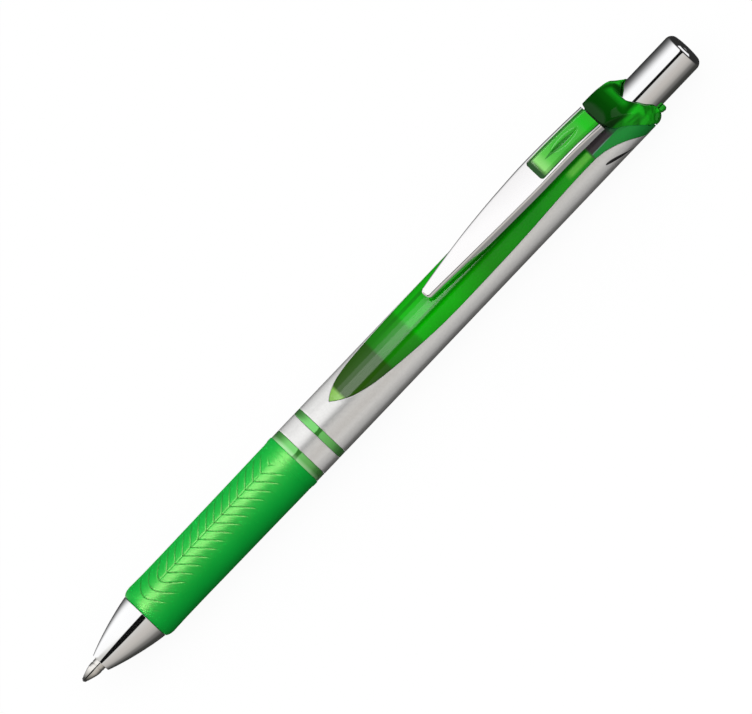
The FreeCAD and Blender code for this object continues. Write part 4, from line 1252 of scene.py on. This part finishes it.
    # soft light for everything else, from above the pen
    k = (c * math.cos(math.radians(31)) + nrm * math.sin(math.radians(31))).normalized()
    lev = mth("MAXIMUM", mth("ADD", mth("MULTIPLY", dot(k), 1.32), 0.12), 0.0)
    soft = nt.nodes.new("ShaderNodeBackground")
    soft.inputs["Color"].default_value = (1, 1, 1, 1)
    L.new(lev, soft.inputs["Strength"])
    plain = nt.nodes.new("ShaderNodeBackground")
    plain.inputs["Color"].default_value = (0.97, 0.97, 0.97, 1)
    lp = nt.nodes.new("ShaderNodeLightPath")
    refl = mth("MULTIPLY", lp.outputs["Is Glossy Ray"], mth("SUBTRACT", 1.0, lp.outputs["Is Transmission Ray"]))
    m1 = nt.nodes.new("ShaderNodeMixShader")
    L.new(refl, m1.inputs[0])
    L.new(soft.outputs[0], m1.inputs[1])
    L.new(glossy.outputs[0], m1.inputs[2])
    m2 = nt.nodes.new("ShaderNodeMixShader")
    L.new(lp.outputs["Is Camera Ray"], m2.inputs[0])
    L.new(m1.outputs[0], m2.inputs[1])
    L.new(plain.outputs[0], m2.inputs[2])
    out = nt.nodes.new("ShaderNodeOutputWorld")
    L.new(m2.outputs[0], out.inputs["Surface"])


world()


mid = Vector((X_TIP + 0.0725, 0, AXIS_Z))


def strip_box(name, a0, a1, radiance, receivers, dist=1.0, length=3.0):
    """A long soft box that runs beside the pen, seen only as a highlight on the given pieces."""
    am = math.radians((a0 + a1) / 2)
    wide = 2 * dist * math.tan(math.radians((a1 - a0) / 2))
    d = c * math.cos(am) + nrm * math.sin(am)
    li = bpy.data.lights.new(name, "AREA")
    li.shape = "RECTANGLE"
    li.size = length
    li.size_y = wide
    li.energy = radiance * math.pi * length * wide
    ob = bpy.data.objects.new(name, li)
    scene.collection.objects.link(ob)
    z = d
    x = Vector((1, 0, 0))
    y = z.cross(x)
    ob.matrix_world = Matrix.Translation(mid + d * dist) @ Matrix((x, y, z)).transposed().to_4x4()
    ob.visible_camera = False
    ob.visible_diffuse = False
    ob.visible_transmission = False
    group = bpy.data.collections.new(name + "_receivers")
    for o in receivers:
        group.objects.link(o)
    ob.light_linking.receiver_collection = group
    return ob


def pieces_of(*keys):
    return [o for o in scene.objects if o.type == "MESH" and any(q.material in [M[k] for k in keys] for q in o.material_slots)]


strip_box("strip_box_clear_a", 16, 50, 5.4, pieces_of("barrel"))
strip_box("strip_box_clear_b", 50, 70, 2.0, pieces_of("barrel"))
strip_box("strip_box_clip_edge", -150, -94, 0.22, pieces_of("chrome_clip"))
strip_box("strip_box_rubber_a", 14, 48, 60.0, pieces_of("rubber"))
strip_box("strip_box_rubber_b", 48, 72, 9.0, pieces_of("rubber"))
strip_box("strip_box_inlay", 74, 118, 3.0, pieces_of("inlay"))
strip_box("strip_box_satin_up", 86, 140, 0.45, pieces_of("satin", "satin_band"))
strip_box("strip_box_satin_low", -118, -56, 0.36, pieces_of("satin", "satin_band"))

# --------------------------------------------------------------------------- camera
target = mid + right * (-1.555e-3) + up * 1.150e-3
cam = bpy.data.cameras.new("cam")
cam.lens = 1200.0
cam.sensor_width = 36.0
cam.sensor_fit = "HORIZONTAL"
view_w = 752 / 6.045e3
dist = view_w * cam.lens / cam.sensor_width
cam.clip_start, cam.clip_end = 0.05, 30.0
co = bpy.data.objects.new("cam", cam)
scene.collection.objects.link(co)
rot = Matrix((right, up, c)).transposed()
co.matrix_world = Matrix.Translation(target + c * dist) @ rot.to_4x4()
scene.camera = co

scene.view_settings.view_transform = "Standard"
scene.view_settings.look = "None"
scene.view_settings.exposure = 0.0
scene.cycles.max_bounces = 14
scene.cycles.transmission_bounces = 12
scene.cycles.glossy_bounces = 6
scene.cycles.transparent_max_bounces = 8
scene.cycles.caustics_refractive = True
scene.cycles.caustics_reflective = False
